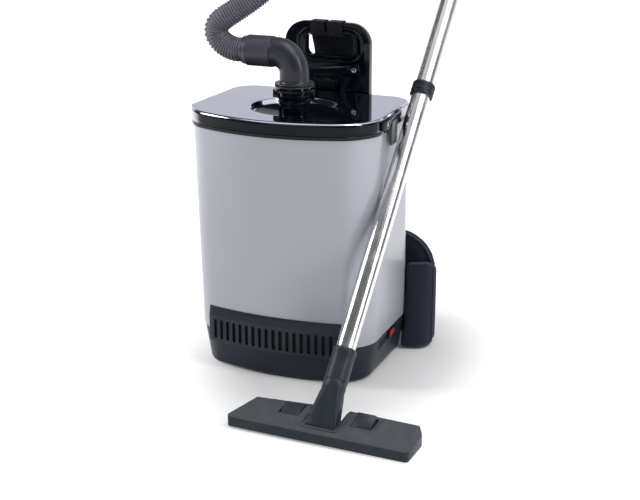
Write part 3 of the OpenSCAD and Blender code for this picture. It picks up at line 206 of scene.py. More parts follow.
def loft(name, rings, closed=False):
    """Skin through rings of points: a grid wrapped round them, with its ends filled or joined"""
    rings = list(rings) + ([rings[0]] if closed else [])
    count = len(rings[0])
    bpy.ops.mesh.primitive_grid_add(x_subdivisions=count, y_subdivisions=len(rings) - 1)
    obj = named(name)
    for vert in obj.data.vertices:
        row, column = divmod(vert.index, count + 1)
        vert.co = rings[row][column % count]
    with editing(obj):
        bpy.ops.mesh.remove_doubles(threshold=0.002)
        if not closed:
            bpy.ops.mesh.select_all(action="DESELECT")
            bpy.ops.mesh.select_non_manifold()
            bpy.ops.mesh.edge_face_add()
    close_up(obj)
    return obj


def prism(name, outline, low, high):
    """Upright solid: the outline is drawn as a filled circle primitive and extruded"""
    bpy.ops.mesh.primitive_circle_add(vertices=len(outline), fill_type="NGON")
    obj = named(name)
    for vert, point in zip(obj.data.vertices, outline):
        vert.co = (point[0], point[1], low)
    with editing(obj):
        bpy.ops.mesh.extrude_region_move(TRANSFORM_OT_translate={"value": (0, 0, high - low)})
    close_up(obj)
    return obj


def lathe(name, outline, steps=72):
    """Solid of revolution about Z: a closed outline of (radius, height) is spun once round"""
    bpy.ops.mesh.primitive_circle_add(vertices=len(outline))
    obj = named(name)
    for vert, (radius, height) in zip(obj.data.vertices, outline):
        vert.co = (radius, 0, height)
    with editing(obj):
        bpy.ops.mesh.spin(steps=steps, angle=2 * math.pi, center=(0, 0, 0), axis=(0, 0, 1))
    close_up(obj)
    return obj


def brick(name, low, high):
    """Box between two corners, to be shaped or cut with"""
    middle = [(a + b) / 2 for a, b in zip(low, high)]
    size = [b - a for a, b in zip(low, high)]
    bpy.ops.mesh.primitive_cube_add(size=1, location=middle, scale=size)
    obj = named(name)
    bpy.ops.object.transform_apply(location=True, rotation=False, scale=True)
    return obj


def stood(obj, matrix):
    """Stands obj in a frame and bakes that into its mesh"""
    only(obj)
    obj.matrix_world = matrix
    bpy.ops.object.transform_apply(location=True, rotation=True, scale=True)
    return obj


def apply_modifier(obj, kind, **settings):
    """Adds a modifier with these settings and applies it"""
    only(obj)
    modifier = obj.modifiers.new(kind.title(), kind)
    for key, value in settings.items():
        setattr(modifier, key, value)
    bpy.ops.object.modifier_apply(modifier=modifier.name)
    return obj


def joined(objs):
    """Joins objects into the first of them"""
    bpy.ops.object.select_all(action="DESELECT")
    for obj in objs:
        obj.select_set(True)
    bpy.context.view_layer.objects.active = objs[0]
    if len(objs) > 1:
        bpy.ops.object.join()
    return objs[0]


def cut(obj, *cutters, operation="DIFFERENCE"):
    """Cuts each cutter out of obj, or adds it, and removes the cutter"""
    for cutter in cutters:
        apply_modifier(obj, "BOOLEAN", object=cutter, operation=operation, solver="EXACT")
        only(cutter)
        bpy.ops.object.delete()
    return obj


def soften(obj, width, segments=2, angle=32):
    """Rounds the edges that are sharper than angle"""
    return apply_modifier(
        obj, "BEVEL", width=width, segments=segments, limit_method="ANGLE",
        angle_limit=math.radians(angle), harden_normals=False,
    )


def smooth(obj, angle=38):
    only(obj)
    bpy.ops.object.shade_smooth_by_angle(angle=math.radians(angle))
    return obj


def copy_of(node, name, width=0.0, segments=2, angle=32, shade=38):
    """Merged copy of a frame node with its sharp edges rounded"""
    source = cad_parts[node]
    only(source)
    bpy.ops.object.duplicate()
    obj = named(name)
    for key in list(obj.keys()):
        del obj[key]
    obj.parent = None
    with editing(obj):
        bpy.ops.mesh.remove_doubles(threshold=0.000004)
        bpy.ops.mesh.dissolve_limited(angle_limit=math.radians(1.0))
    if width:
        soften(obj, width, segments, angle)
    return smooth(obj, shade)


def dress(obj, material):
    obj.data.materials.clear()
    obj.data.materials.append(material)


def hand_over(obj, body, slot, look, *nodes, matrix=None):
    """Stands a finished piece in the row frame and gives it its material, body and nodes; its slot is not
    used
    """
    if matrix is not None:
        stood(obj, MACHINE @ matrix)
    dress(obj, finish(look))
    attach(obj, body)
    if nodes:
        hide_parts(*nodes)
    return obj


# ---- Outlines shared by the casing, the base, the grille and the lid
QUARTERS = ((1, 1, 0), (-1, 1, 90), (-1, -1, 180), (1, -1, 270))


def mix(a, b, t):
    return a + (b - a) * t


def corner(cx, cy, radius, start, steps=12):
    return [
        (cx + radius * math.cos(math.radians(start + 90 * i / steps)),
         cy + radius * math.sin(math.radians(start + 90 * i / steps)))
        for i in range(steps + 1)
    ]


def between(a, b, steps):
    """Points inside the straight from a to b"""
    return [(mix(a[0], b[0], i / steps), mix(a[1], b[1], i / steps)) for i in range(1, steps)]


def body_outline(front, back, depth, radius, bulge, inset=0.0):
    """Outline with a bulging front, from the right rear corner leftwards round to the right side"""
    r = radius - inset
    hx, hy = front / 2 - radius, depth / 2 - radius
    corners = [corner(sx * hx, sy * hy, r, a) for sx, sy, a in QUARTERS]
    flat = []
    for arc, following, steps in zip(corners, corners[1:] + corners[:1], (22, 12, 30, 12)):
        flat += arc + between(arc[-1], following[0], steps)
    found = []
    for x, y in flat:
        t = y / depth + 0.5
        x *= mix(1, back / front, t)
        found.append((x, y - bulge * (1 - (2 * x / front) ** 2) * (1 - t)))
    return found


def casing_outline(z, inset=0.0):
    """Section of the silver casing at height z"""
    t = (z - BASE_TOP) / (CASING_TOP - BASE_TOP)
    outline = body_outline(
        mix(320, 331.4, t), mix(316, 323.4, t), mix(229, 215.4, t), LID_CORNER, mix(21, 47, t), inset
    )
    return [(x, y + FOOT_BACK * (1 - t)) for x, y in outline]


def lid_outline(inset=0.0):
    return body_outline(336, 328, 220, LID_CORNER, 47, inset)


def base_outline(z, inset=0.0):
    t = (z - BASE_LOW) / (BASE_TOP - BASE_LOW)
    outline = body_outline(
        mix(296, 318, t), mix(296, 314, t), mix(215, 227, t), mix(38, LID_CORNER, t), mix(24, 21, t), inset
    )
    return [(x, y + FOOT_BACK) for x, y in outline]


def at_height(outline, z):
    return [Vector((x, y, z)) for x, y in outline]


def round_rect(w, h, r, steps=8, cx=0.0, cy=0.0):
    return [
        (x + cx, y + cy)
        for sx, sy, start in QUARTERS
        for x, y in corner(sx * (w / 2 - r), sy * (h / 2 - r), r, start, steps)
    ]


def base_side(side, y, z):
    """Frame on the base's side wall, with local X out of the wall"""
    foot, top, rise = 148, 159, BASE_TOP - BASE_LOW
    lean = math.atan((top - foot) / rise)
    x = mix(foot, top, (z - BASE_LOW) / rise)
    return moved(side * x, y, z) @ (
        turned_by(lean, "Y") if side > 0 else turned_by(math.pi, "Z") @ turned_by(lean, "Y")
    )


# ---- Material helpers
def add(tree, kind, *links, **values):
    """Adds a shader node, sets its settings and inputs, and links (socket, source) pairs"""
    made = tree.nodes.new("ShaderNode" + kind)
    for key, value in values.items():
        if hasattr(made, key):
            setattr(made, key, value)
        else:
            made.inputs[key.replace("_", " ")].default_value = value
    for socket, source in links:
        tree.links.new(source, made.inputs[socket])
    return made


def group(name, inputs, outputs):
    """New node group with float or vector sockets, and its input and output nodes"""
    tree = bpy.data.node_groups.new(name, "ShaderNodeTree")
    kinds = {"f": "NodeSocketFloat", "v": "NodeSocketVector"}
    for socket, (kind, default) in inputs.items():
        made = tree.interface.new_socket(socket, in_out="INPUT", socket_type=kinds[kind])
        if default is not None:
            made.default_value = default
    for socket, kind in outputs.items():
        tree.interface.new_socket(socket, in_out="OUTPUT", socket_type=kinds[kind])
    return tree, tree.nodes.new("NodeGroupInput"), tree.nodes.new("NodeGroupOutput")


def ramp(tree, source, low, high, a=0.0, b=1.0):
    """Maps source from low..high to a..b, smoothly and held at the ends"""
    made = add(tree, "MapRange", ("Value", source), interpolation_type="SMOOTHSTEP")
    for key, value in (("From Min", low), ("From Max", high), ("To Min", a), ("To Max", b)):
        made.inputs[key].default_value = value
    return made.outputs["Result"]


def maths(tree, operation, a, b=None):
    made = add(tree, "Math", operation=operation)
    for socket, value in zip(made.inputs, (a, b)):
        if isinstance(value, (int, float)):
            socket.default_value = value
        elif value is not None:
            tree.links.new(value, socket)
    return made.outputs[0]


def times(tree, a, b):
    return maths(tree, "MULTIPLY", a, b)


def plus(tree, a, b):
    return maths(tree, "ADD", a, b)


def most(tree, first, *others):
    """Largest of several values"""
    for value in others:
        first = maths(tree, "MAXIMUM", first, value)
    return first


def facing_up(tree):
    """How far the surface faces up: the Z of its normal"""
    normal = add(tree, "NewGeometry").outputs["Normal"]
    return add(tree, "SeparateXYZ", ("Vector", normal)).outputs["Z"]


def feed(tree, node, **sources):
    """Links a source to each named input of a node"""
    for key, source in sources.items():
        tree.links.new(source, node.inputs[key.replace("_", " ")])


def blended(tree, share, a, b, kind="MIX"):
    """Mixes two colours; a and b are sockets or plain colours"""
    made = add(tree, "Mix", data_type="RGBA", blend_type=kind)
    for socket, value in ((made.inputs[0], share), (made.inputs[6], a), (made.inputs[7], b)):
        if isinstance(value, bpy.types.NodeSocket):
            tree.links.new(value, socket)
        elif isinstance(value, (int, float)):
            socket.default_value = value
        else:
            socket.default_value = (*value, 1) if len(value) == 3 else value
    return made.outputs[2]


def grain_group():
    """Moulded or blasted skin: a fine bump and a slow drift of tone"""
    tree, gi, go = group(
        "Moulded grain",
        {"Place": ("v", None), "Scale": ("f", 1500.0), "Depth": ("f", 0.00004), "Drift": ("f", 0.12)},
        {"Normal": "v", "Tone": "f", "Rough": "f"},
    )
    fine = add(tree, "TexNoise", ("Vector", gi.outputs["Place"]), ("Scale", gi.outputs["Scale"]), Detail=2.0)
    slow = add(tree, "TexNoise", ("Vector", gi.outputs["Place"]), Scale=9.0, Detail=3.0)
    bump = add(
        tree, "Bump", ("Height", fine.outputs[0]), ("Distance", gi.outputs["Depth"]), Strength=0.6
    )
    centred = maths(tree, "SUBTRACT", slow.outputs[0], 0.5)
    tone = plus(tree, times(tree, centred, gi.outputs["Drift"]), 1.0)
    feed(tree, go, Normal=bump.outputs[0], Tone=tone, Rough=times(tree, centred, 0.5))
    return tree


def wear_group():
    """Handling: rubbed edges, a film of dust on what faces up and fine scuffs"""
    tree, gi, go = group(
        "Handling wear",
        {"Place": ("v", None), "Edge": ("f", 0.5), "Dust": ("f", 0.3)},
        {"Edges": "f", "Dust": "f", "Scuff": "f"},
    )
    geometry = add(tree, "NewGeometry")
    broken = add(tree, "TexNoise", ("Vector", gi.outputs["Place"]), Scale=60.0, Detail=4.0)
    edges = ramp(tree, geometry.outputs["Pointiness"], 0.52, 0.62)
    edges = times(tree, edges, ramp(tree, broken.outputs[0], 0.4, 0.65))
    upward = add(tree, "SeparateXYZ", ("Vector", geometry.outputs["Normal"]))
    film = times(tree, ramp(tree, upward.outputs["Z"], 0.3, 1.0), broken.outputs[0])
    stretch = add(tree, "Mapping", ("Vector", gi.outputs["Place"]), Scale=(35, 35, 900))
    scuff = add(tree, "TexNoise", ("Vector", stretch.outputs[0]), Scale=1.0, Detail=2.0)
    feed(
        tree, go, Edges=times(tree, edges, gi.outputs["Edge"]),
        Dust=times(tree, film, gi.outputs["Dust"]), Scuff=ramp(tree, scuff.outputs[0], 0.62, 0.74),
    )
    return tree


def weave_group():
    """Plain weave seen from three sides: threads across two directions of the surface"""
    tree, gi, go = group(
        "Plain weave",
        {"Place": ("v", None), "Scale": ("f", 700.0), "Depth": ("f", 0.0002)},
        {"Normal": "v", "Thread": "f", "Fade": "f"},
    )
    axes = add(tree, "SeparateXYZ", ("Vector", gi.outputs["Place"]))
    waves = []
    for axis in ("X", "Y", "Z"):
        turn = times(tree, axes.outputs[axis], times(tree, gi.outputs["Scale"], FULL_TURN))
        waves.append(maths(tree, "SINE", turn))
    level = plus(tree, waves[0], waves[1])
    threads = plus(tree, times(tree, level, waves[2]), 1.0)
    slow = add(tree, "TexNoise", ("Vector", gi.outputs["Place"]), Scale=14.0, Detail=4.0)
    fuzz = add(tree, "TexNoise", ("Vector", gi.outputs["Place"]), Scale=900.0, Detail=2.0)
    height = plus(tree, times(tree, threads, 0.35), fuzz.outputs[0])
    bump = add(tree, "Bump", ("Height", height), ("Distance", gi.outputs["Depth"]), Strength=0.7)
    feed(
        tree, go, Normal=bump.outputs[0], Thread=times(tree, threads, 0.5), Fade=slow.outputs[0]
    )
    return tree


GROUPS = {"Moulded grain": grain_group, "Handling wear": wear_group, "Plain weave": weave_group}


def placed(tree, name, place, **values):
    """Puts a shared group into a material's tree with its own values"""
    made = tree.nodes.new("ShaderNodeGroup")
    made.node_tree = bpy.data.node_groups.get(name) or GROUPS[name]()
    tree.links.new(place, made.inputs["Place"])
    for key, value in values.items():
        made.inputs[key].default_value = value
    return made


def surface(name, **values):
    """New material: its tree, its shader with plain values on the sockets, and Object coordinates"""
    material = bpy.data.materials.new(name + "_look")
    material.use_nodes = True
    tree = material.node_tree
    shader = tree.nodes["Principled BSDF"]
    for key, value in values.items():
        shader.inputs[key.replace("_", " ")].default_value = (
            (*value, 1) if hasattr(value, "__len__") and len(value) == 3 else value
        )
    return material, tree, shader, add(tree, "TexCoord").outputs["Object"]


def plastic(name, tint, roughness, scale, depth, edge, dust, settled=0.0, **values):
    """Moulded plastic: fine skin, drifting tone, rubbed edges and dust, and a painted lighter top where asked
    """
    values.setdefault("Specular_IOR_Level", 0.35)
    material, tree, shader, place = surface(name, **values)
    grain = placed(tree, "Moulded grain", place, Scale=scale, Depth=depth)
    wear = placed(tree, "Handling wear", place, Edge=edge, Dust=dust)
    tone = blended(tree, 1.0, (*tint, 1), grain.outputs["Tone"], "MULTIPLY")
    pale = tuple(min(1.0, c * 2.0 + 0.012) for c in tint)
    tone = blended(tree, wear.outputs["Edges"], tone, pale)
    tone = blended(tree, wear.outputs["Dust"], tone, (0.20, 0.20, 0.20))
    if settled:
        # Painted light: faces turned up are blended towards a pale grey, which draws the top lighter than the
        # sides
        upward = facing_up(tree)
        tone = blended(tree, ramp(tree, upward, 0.2, 0.9, 0.0, settled), tone, (0.30, 0.31, 0.33, 1))
    rough = plus(tree, grain.outputs["Rough"], roughness)
    rough = plus(tree, rough, times(tree, wear.outputs["Scuff"], 0.05))
    feed(tree, shader, Base_Color=tone, Roughness=rough, Normal=grain.outputs["Normal"])
    return material


def mirror_black(name, tint):
    """Polished black lid: dark seen square on, a mirror seen along it, with a painted highlight on faces
    sloping up and painted shade in the inlet's dish
    """
    material, tree, shader, place = surface(name, Specular_IOR_Level=0.14)
    grain = placed(tree, "Moulded grain", place, Scale=30.0, Depth=0.000002)
    wear = placed(tree, "Handling wear", place, Edge=0.2, Dust=0.01)
    tone = blended(tree, wear.outputs["Edges"], (*tint, 1), (0.02, 0.022, 0.03))
    rough = plus(tree, times(tree, wear.outputs["Scuff"], 0.03), 0.045)
    feed(tree, shader, Base_Color=tone, Roughness=rough, Normal=grain.outputs["Normal"])
    slant = add(tree, "LayerWeight", ("Normal", grain.outputs["Normal"]), Blend=0.5)
    upward = facing_up(tree)
    # Painted highlight: faces that slope part way up get more mirror, so the lid's rounded edges and the
    # dish's wall are drawn as bright lines
    painted_slope_highlight = times(
        tree, ramp(tree, upward, 0.35, 0.62, 0.0, 0.78), ramp(tree, upward, 0.88, 0.97, 1.0, 0.0)
    )
    share = most(tree, ramp(tree, slant.outputs["Facing"], 0.40, 0.72, 0.0, 0.42), painted_slope_highlight)
    # Painted shade: inside the dish, its flat floor and its right half lose most of their mirror and
    # specular, so they are drawn dark
    flat = add(tree, "Mapping", ("Vector", place), Location=-(MACHINE @ INLET), Scale=(1, 1, 0))
    away = add(tree, "VectorMath", (0, flat.outputs[0]), operation="LENGTH").outputs["Value"]
    side = add(tree, "SeparateXYZ", ("Vector", flat.outputs[0])).outputs["X"]
    painted_dish_shade = most(tree, ramp(tree, upward, 0.90, 0.95), ramp(tree, side, -0.01, 0.01))
    painted_dish_shade = times(tree, painted_dish_shade, ramp(tree, away, 0.0735, 0.0745, 1.0, 0.0))
    left = maths(tree, "SUBTRACT", 1.0, times(tree, painted_dish_shade, 0.90))
    share = times(tree, share, left)
    tree.links.new(times(tree, left, 0.14), shader.inputs["Specular IOR Level"])
    mirror = add(
        tree, "BsdfAnisotropic", ("Roughness", rough), ("Normal", grain.outputs["Normal"]),
        Color=(0.86, 0.86, 1.0, 1),
    )
    both = add(tree, "MixShader", (0, share), (1, shader.outputs[0]), (2, mirror.outputs[0]))
    tree.links.new(both.outputs[0], tree.nodes["Material Output"].inputs["Surface"])
    return material


def cloth_material(name, tint, scale, depth, roughness):
    """Woven cloth: threads in the bump and the tone, worn paler in drifts"""
    material, tree, shader, place = surface(
        name, Sheen_Weight=0.08, Sheen_Roughness=0.5, Specular_IOR_Level=0.15
    )
    weave = placed(tree, "Plain weave", place, Scale=scale, Depth=depth)
    wear = placed(tree, "Handling wear", place, Edge=0.4, Dust=0.05)
    pale = tuple(c * 1.6 + 0.003 for c in tint)
    tone = blended(tree, times(tree, weave.outputs["Thread"], 0.5), tint, pale)
    tone = blended(tree, ramp(tree, weave.outputs["Fade"], 0.35, 0.75, 0.0, 0.35), tone, pale)
    tone = blended(tree, wear.outputs["Dust"], tone, (0.20, 0.20, 0.20))
    rough = plus(tree, times(tree, weave.outputs["Thread"], 0.08), roughness - 0.05)
    feed(tree, shader, Base_Color=tone, Roughness=rough, Normal=weave.outputs["Normal"])
    return material


def silver_lacquer():
    """Lacquer with fine metal flake and soft orange peel"""
    material, tree, shader, place = surface(
        "silver_lacquer", Metallic=0.25, Coat_Weight=0.35, Coat_Roughness=0.18
    )
    tint = tuple(colours().silver)
    flake = add(tree, "TexVoronoi", ("Vector", place), Scale=2600.0, feature="F1")
    sparkle = ramp(tree, flake.outputs["Color"], 0.2, 0.9, 0.985, 1.015)
    peel = placed(tree, "Moulded grain", place, Scale=260.0, Depth=0.00003)
    wear = placed(tree, "Handling wear", place, Edge=0.2, Dust=0.06)
    tone = blended(tree, 1.0, (*tint, 1), sparkle, "MULTIPLY")
    tone = blended(tree, wear.outputs["Dust"], tone, (0.30, 0.31, 0.34))
    rough = plus(tree, times(tree, peel.outputs["Rough"], 0.15), 0.36)
    feed(tree, shader, Base_Color=tone, Roughness=rough, Normal=peel.outputs["Normal"])
    return material


def polished_metal(name, tint, roughness, along, streak):
    """Polished metal with drawn streaks along one direction and smudges"""
    material, tree, shader, place = surface(name, Metallic=1.0)
    drawn = add(tree, "Mapping", ("Vector", place), Scale=along)
    lines = add(tree, "TexNoise", ("Vector", drawn.outputs[0]), Scale=1.0, Detail=3.0)
    wear = placed(tree, "Handling wear", place, Edge=0.3, Dust=0.05)
    smudge = add(tree, "TexNoise", ("Vector", place), Scale=26.0, Detail=4.0)
    share, dark = ramp(tree, lines.outputs[0], 0.35, 0.7, 0.0, streak), tuple(c * 0.72 for c in tint)
    tone = blended(tree, share, tint, dark)
    tone = blended(tree, wear.outputs["Dust"], tone, (0.4, 0.4, 0.4))
    rough = plus(tree, ramp(tree, smudge.outputs[0], 0.42, 0.72, 0.0, 0.09), roughness)
    bump = add(tree, "Bump", ("Height", lines.outputs[0]), Distance=0.00002, Strength=0.25)
    feed(tree, shader, Base_Color=tone, Roughness=rough, Normal=bump.outputs[0])
    return material


# Plastics: colour, roughness, grain's scale and depth, rubbed edges, dust, other sockets and the painted top
# light
PLASTICS = {
    "gloss_black": ("gloss", 0.10, 500.0, 0.000006, 0.3, 0.01, {"Specular_IOR_Level": 0.18}),
    "navy_plastic": ("navy", 0.38, 1400.0, 0.00005, 0.3, 0.03, {"Specular_IOR_Level": 0.30}),
    # The floor tool's upward faces are drawn paler: a painted lighter top
    "tool_plastic": (
        "tool", 0.45, 1200.0, 0.00006, 0.4, 0.20, {"settled": 0.09, "Specular_IOR_Level": 0.15}
    ),
    "cuff_plastic": ("cuff", 0.38, 1500.0, 0.00004, 0.3, 0.03, {}),
    "neck_plastic": ("neck", 0.38, 1200.0, 0.00006, 0.4, 0.08, {"Specular_IOR_Level": 0.25}),
    "dark_plastic": ("dark", 0.36, 1500.0, 0.00004, 0.3, 0.03, {}),
    "grey_plastic": ("grey", 0.34, 1300.0, 0.00004, 0.4, 0.04, {}),
    "hose_skin": ("hose", 0.42, 900.0, 0.00004, 0.5, 0.05, {}),
    "rubber": ("rubber", 0.75, 800.0, 0.00008, 0.3, 0.10, {}),
    "foam": ("rubber", 0.95, 420.0, 0.0009, 0.0, 0.05, {}),
    "switch_red": ("switch", 0.16, 600.0, 0.00001, 0.2, 0.02, {}),
    "bag_paper": ((0.74, 0.70, 0.62), 0.85, 350.0, 0.0003, 0.2, 0.05, {}),
    "card": ((0.45, 0.33, 0.19), 0.85, 500.0, 0.0002, 0.4, 0.05, {}),
}
# Metals and bristle: colour, roughness, scale of the drawn streaks, their share
METALS = {
    "steel_tube": ("steel", 0.19, (520, 520, 5), 0.1),
    "bright_steel": ((0.62, 0.63, 0.65), 0.22, (600, 60, 600), 0.2),
    "fan_metal": ((0.70, 0.71, 0.73), 0.32, (90, 90, 700), 0.2),
    "motor_iron": ((0.20, 0.18, 0.16), 0.5, (30, 30, 2600), 0.6),
    "copper_wire": ((0.66, 0.30, 0.13), 0.3, (60, 60, 2200), 0.5),
    "bristle": ((0.02, 0.02, 0.022), 0.6, (1600, 1600, 20), 0.6),
}
# Cloths: colour, scale and depth of the weave, roughness
CLOTHS = {
    "navy_fabric": ("fabric", 620.0, 0.00022, 0.9),
    "webbing": ("webbing", 480.0, 0.00030, 0.82),
    "piping": (None, 900.0, 0.00020, 0.7),
    "filter_fleece": ((0.66, 0.64, 0.58), 900.0, 0.00030, 0.9),
}


def tint_of(key):
    """A colour of the panel by its name, or a plain colour as it is"""
    return tuple(getattr(colours(), key)) if isinstance(key, str) else key


def finish(name):
    """The material of that name, made at its first use"""
    found = bpy.data.materials.get(name + "_look")
    if found:
        return found
    if name == "silver_lacquer":
        return silver_lacquer()
    if name == "lid_gloss":
        return mirror_black(name, tint_of("gloss"))
    if name in PLASTICS:
        key, *row, others = PLASTICS[name]
        return plastic(name, tint_of(key), *row, **others)
    if name in METALS:
        key, *row = METALS[name]
        return polished_metal(name, tint_of(key), *row)
    key, *row = CLOTHS[name]
    tint = tint_of(key) if key else tuple(v * 1.9 + 0.006 for v in tint_of("fabric"))
    return cloth_material(name, tint, *row)


# ---- Studio
def make_camera():
    right = Vector((0.92595594, 0.37763155, 0))
    up = Vector((-0.11718979, 0.28735042, 0.95062942))
    back = -Vector((-0.35898766, 0.88024096, -0.3103284))
    bpy.ops.object.camera_add()
    camera = bpy.context.active_object
    camera.name = "camera"
    turn = Matrix((right, up, back)).transposed().to_4x4()
    camera.matrix_world = Matrix.Translation((0.83874, -2.19678, 0.94464)) @ turn
    camera.data.sensor_width = SENSOR
    camera.data.lens = FOCAL_PX / PICTURE_W * SENSOR
    camera.data.clip_start, camera.data.clip_end = 0.05, 60
    bpy.context.scene.camera = camera


def area_light(name, place, target, size, power, turn=0.0):
    bpy.ops.object.light_add(type="AREA", location=place)
    lamp = bpy.context.active_object
    lamp.name = name
    lamp.data.shape = "RECTANGLE"
    lamp.data.size, lamp.data.size_y = size
    lamp.data.energy = power
    aim = (Vector(target) - Vector(place)).to_track_quat("-Z", "Y")
    lamp.rotation_euler = (aim @ turned_by(turn, "Z").to_quaternion()).to_euler()


def make_world():
    world = bpy.data.worlds.new("studio")
    bpy.context.scene.world = world
    world.use_nodes = True
    tree = world.node_tree
    tree.nodes.clear()
    path = add(tree, "LightPath")
    direction = add(tree, "TexCoord").outputs["Generated"]
    axes = add(tree, "SeparateXYZ", ("Vector", direction))
    across, along, height = (axes.outputs[axis] for axis in "XYZ")
    low_behind = times(tree, ramp(tree, along, 0.25, 0.60), ramp(tree, height, 0.350, 0.405, 1.0, 0.0))
    aside = times(tree, ramp(tree, across, 0.15, 0.35), ramp(tree, height, 0.40, 0.50, 0.0, 0.95))
    aside = times(tree, aside, ramp(tree, along, -0.05, 0.12))
    above = times(
        tree, ramp(tree, height, 0.78, 0.87, 0.0, 0.95), ramp(tree, along, -0.50, -0.36)
    )
    box = times(tree, ramp(tree, across, -0.55, -0.35), ramp(tree, across, 0.05, 0.30, 1.0, 0.0))
    box = times(tree, box, ramp(tree, along, -0.85, -0.70, 0.9, 0.0))
    seen = most(tree, low_behind, above, box, aside, LEAST_REFLECTED)
    even = add(tree, "Background", Color=(0.97, 0.98, 1.0, 1), Strength=0.40)
    mirrored = add(tree, "Background", ("Strength", seen), Color=(0.95, 0.96, 1.0, 1))
    white = add(tree, "Background", Color=(1, 1, 1, 1), Strength=1.0)
    full = even
    for ray, other in (("Is Glossy Ray", mirrored), ("Is Camera Ray", white)):
        full = add(
            tree, "MixShader", (0, path.outputs[ray]), (1, full.outputs[0]), (2, other.outputs[0])
        )
    tree.links.new(full.outputs[0], add(tree, "OutputWorld").inputs["Surface"])


def make_floor():
    size = sizes().floor_size
    bpy.ops.mesh.primitive_plane_add(size=size, location=(0, 0, -0.0002))
    floor = named("floor")
    bpy.ops.object.transform_apply(location=True, rotation=False, scale=False)
    with editing(floor):
        bpy.ops.mesh.subdivide(number_cuts=6)
    material = bpy.data.materials.new("floor_paper")
    material.use_nodes = True
    tree = material.node_tree
    tree.nodes.clear()
    place = add(tree, "TexCoord").outputs["Object"]
    tooth = add(tree, "TexNoise", ("Vector", place), Scale=300.0, Detail=2.0)
    bump = add(tree, "Bump", ("Height", tooth.outputs[0]), Distance=0.0001, Strength=0.2)
    paper = add(tree, "BsdfDiffuse", ("Normal", bump.outputs[0]), Color=(*colours().floor, 1))
    # Painted shadow: the emission that lifts the floor to white is held back in an ellipse round the
    # machine's foot, so the floor there is drawn darker for the camera and in reflections
    painted_shadow_ellipse = add(
        tree, "Mapping", ("Vector", place), Location=(-0.15, 0.300, 0), Scale=(1 / 0.20, 1 / 0.30, 1)
    )
    away = add(tree, "VectorMath", (0, painted_shadow_ellipse.outputs[0]), operation="LENGTH")
    away = away.outputs["Value"]
    lift_outside_painted_shadow = most(tree, ramp(tree, away, 0.62, 1.60, 0.0, 0.60), ramp(tree, away, 2.5, 8.0))
    lift = add(tree, "Emission", ("Strength", lift_outside_painted_shadow), Color=(1, 1, 1, 1))
    both = add(tree, "AddShader", (0, paper.outputs[0]), (1, lift.outputs[0]))
    path = add(tree, "LightPath")
    seen = most(tree, path.outputs["Is Camera Ray"], path.outputs["Is Glossy Ray"])
    full = add(tree, "MixShader", (0, seen), (1, paper.outputs[0]), (2, both.outputs[0]))
    tree.links.new(full.outputs[0], add(tree, "OutputMaterial").inputs["Surface"])
    dress(floor, material)


class VACUUM_OT_stage(bpy.types.Operator):
    """Camera, studio lights, world and floor"""

    bl_idname = "vacuum.stage"
    bl_label = "Studio"

    def execute(self, context):
        context.scene.view_settings.view_transform = "Standard"
        make_camera()
        make_world()
        make_floor()
        area_light("key_left", (-3.0, -1.0, 2.0), (0, 0, 0.3), (0.9, 1.8), 58)
        area_light("strip_right", (2.4, -0.6, 1.5), (0.1, 0, 0.4), (0.5, 2.2), 30)
        area_light("top_strip", (0.9, -0.1, 3.0), (-0.05, -0.1, 0.4), (2.6, 1.0), 34, math.radians(46))
        return {"FINISHED"}


# ---- Hose
def smooth_route(points, steps=12):
    """Catmull-Rom curve through the points"""
    first = points[0] * 2 - points[1]
    last = points[-1] * 2 - points[-2]
    run = [first, *points, last]
    found = []
    for p0, p1, p2, p3 in zip(run, run[1:], run[2:], run[3:]):
        for step in range(steps):
            t = step / steps
            found.append(
                0.5 * (2 * p1 + (p2 - p0) * t + (2 * p0 - 5 * p1 + 4 * p2 - p3) * t * t
                       + (3 * p1 - p0 - 3 * p2 + p3) * t**3)
            )
    return [*found, points[-1]]


def route_length(points):
    return sum((b - a).length for a, b in zip(points, points[1:]))


def curve_through(name, points, cyclic=False):
    """Poly curve object through the points, to bend or sweep along"""
    data = bpy.data.curves.new(name, "CURVE")
    data.dimensions = "3D"
    data.twist_mode = "MINIMUM"
    spline = data.splines.new("POLY")
    spline.points.add(len(points) - 1)
    for point, place in zip(spline.points, points):
        point.co = (*place, 1)
    spline.use_cyclic_u = cyclic
    obj = bpy.data.objects.new(name, data)
    bpy.context.scene.collection.objects.link(obj)
    return obj


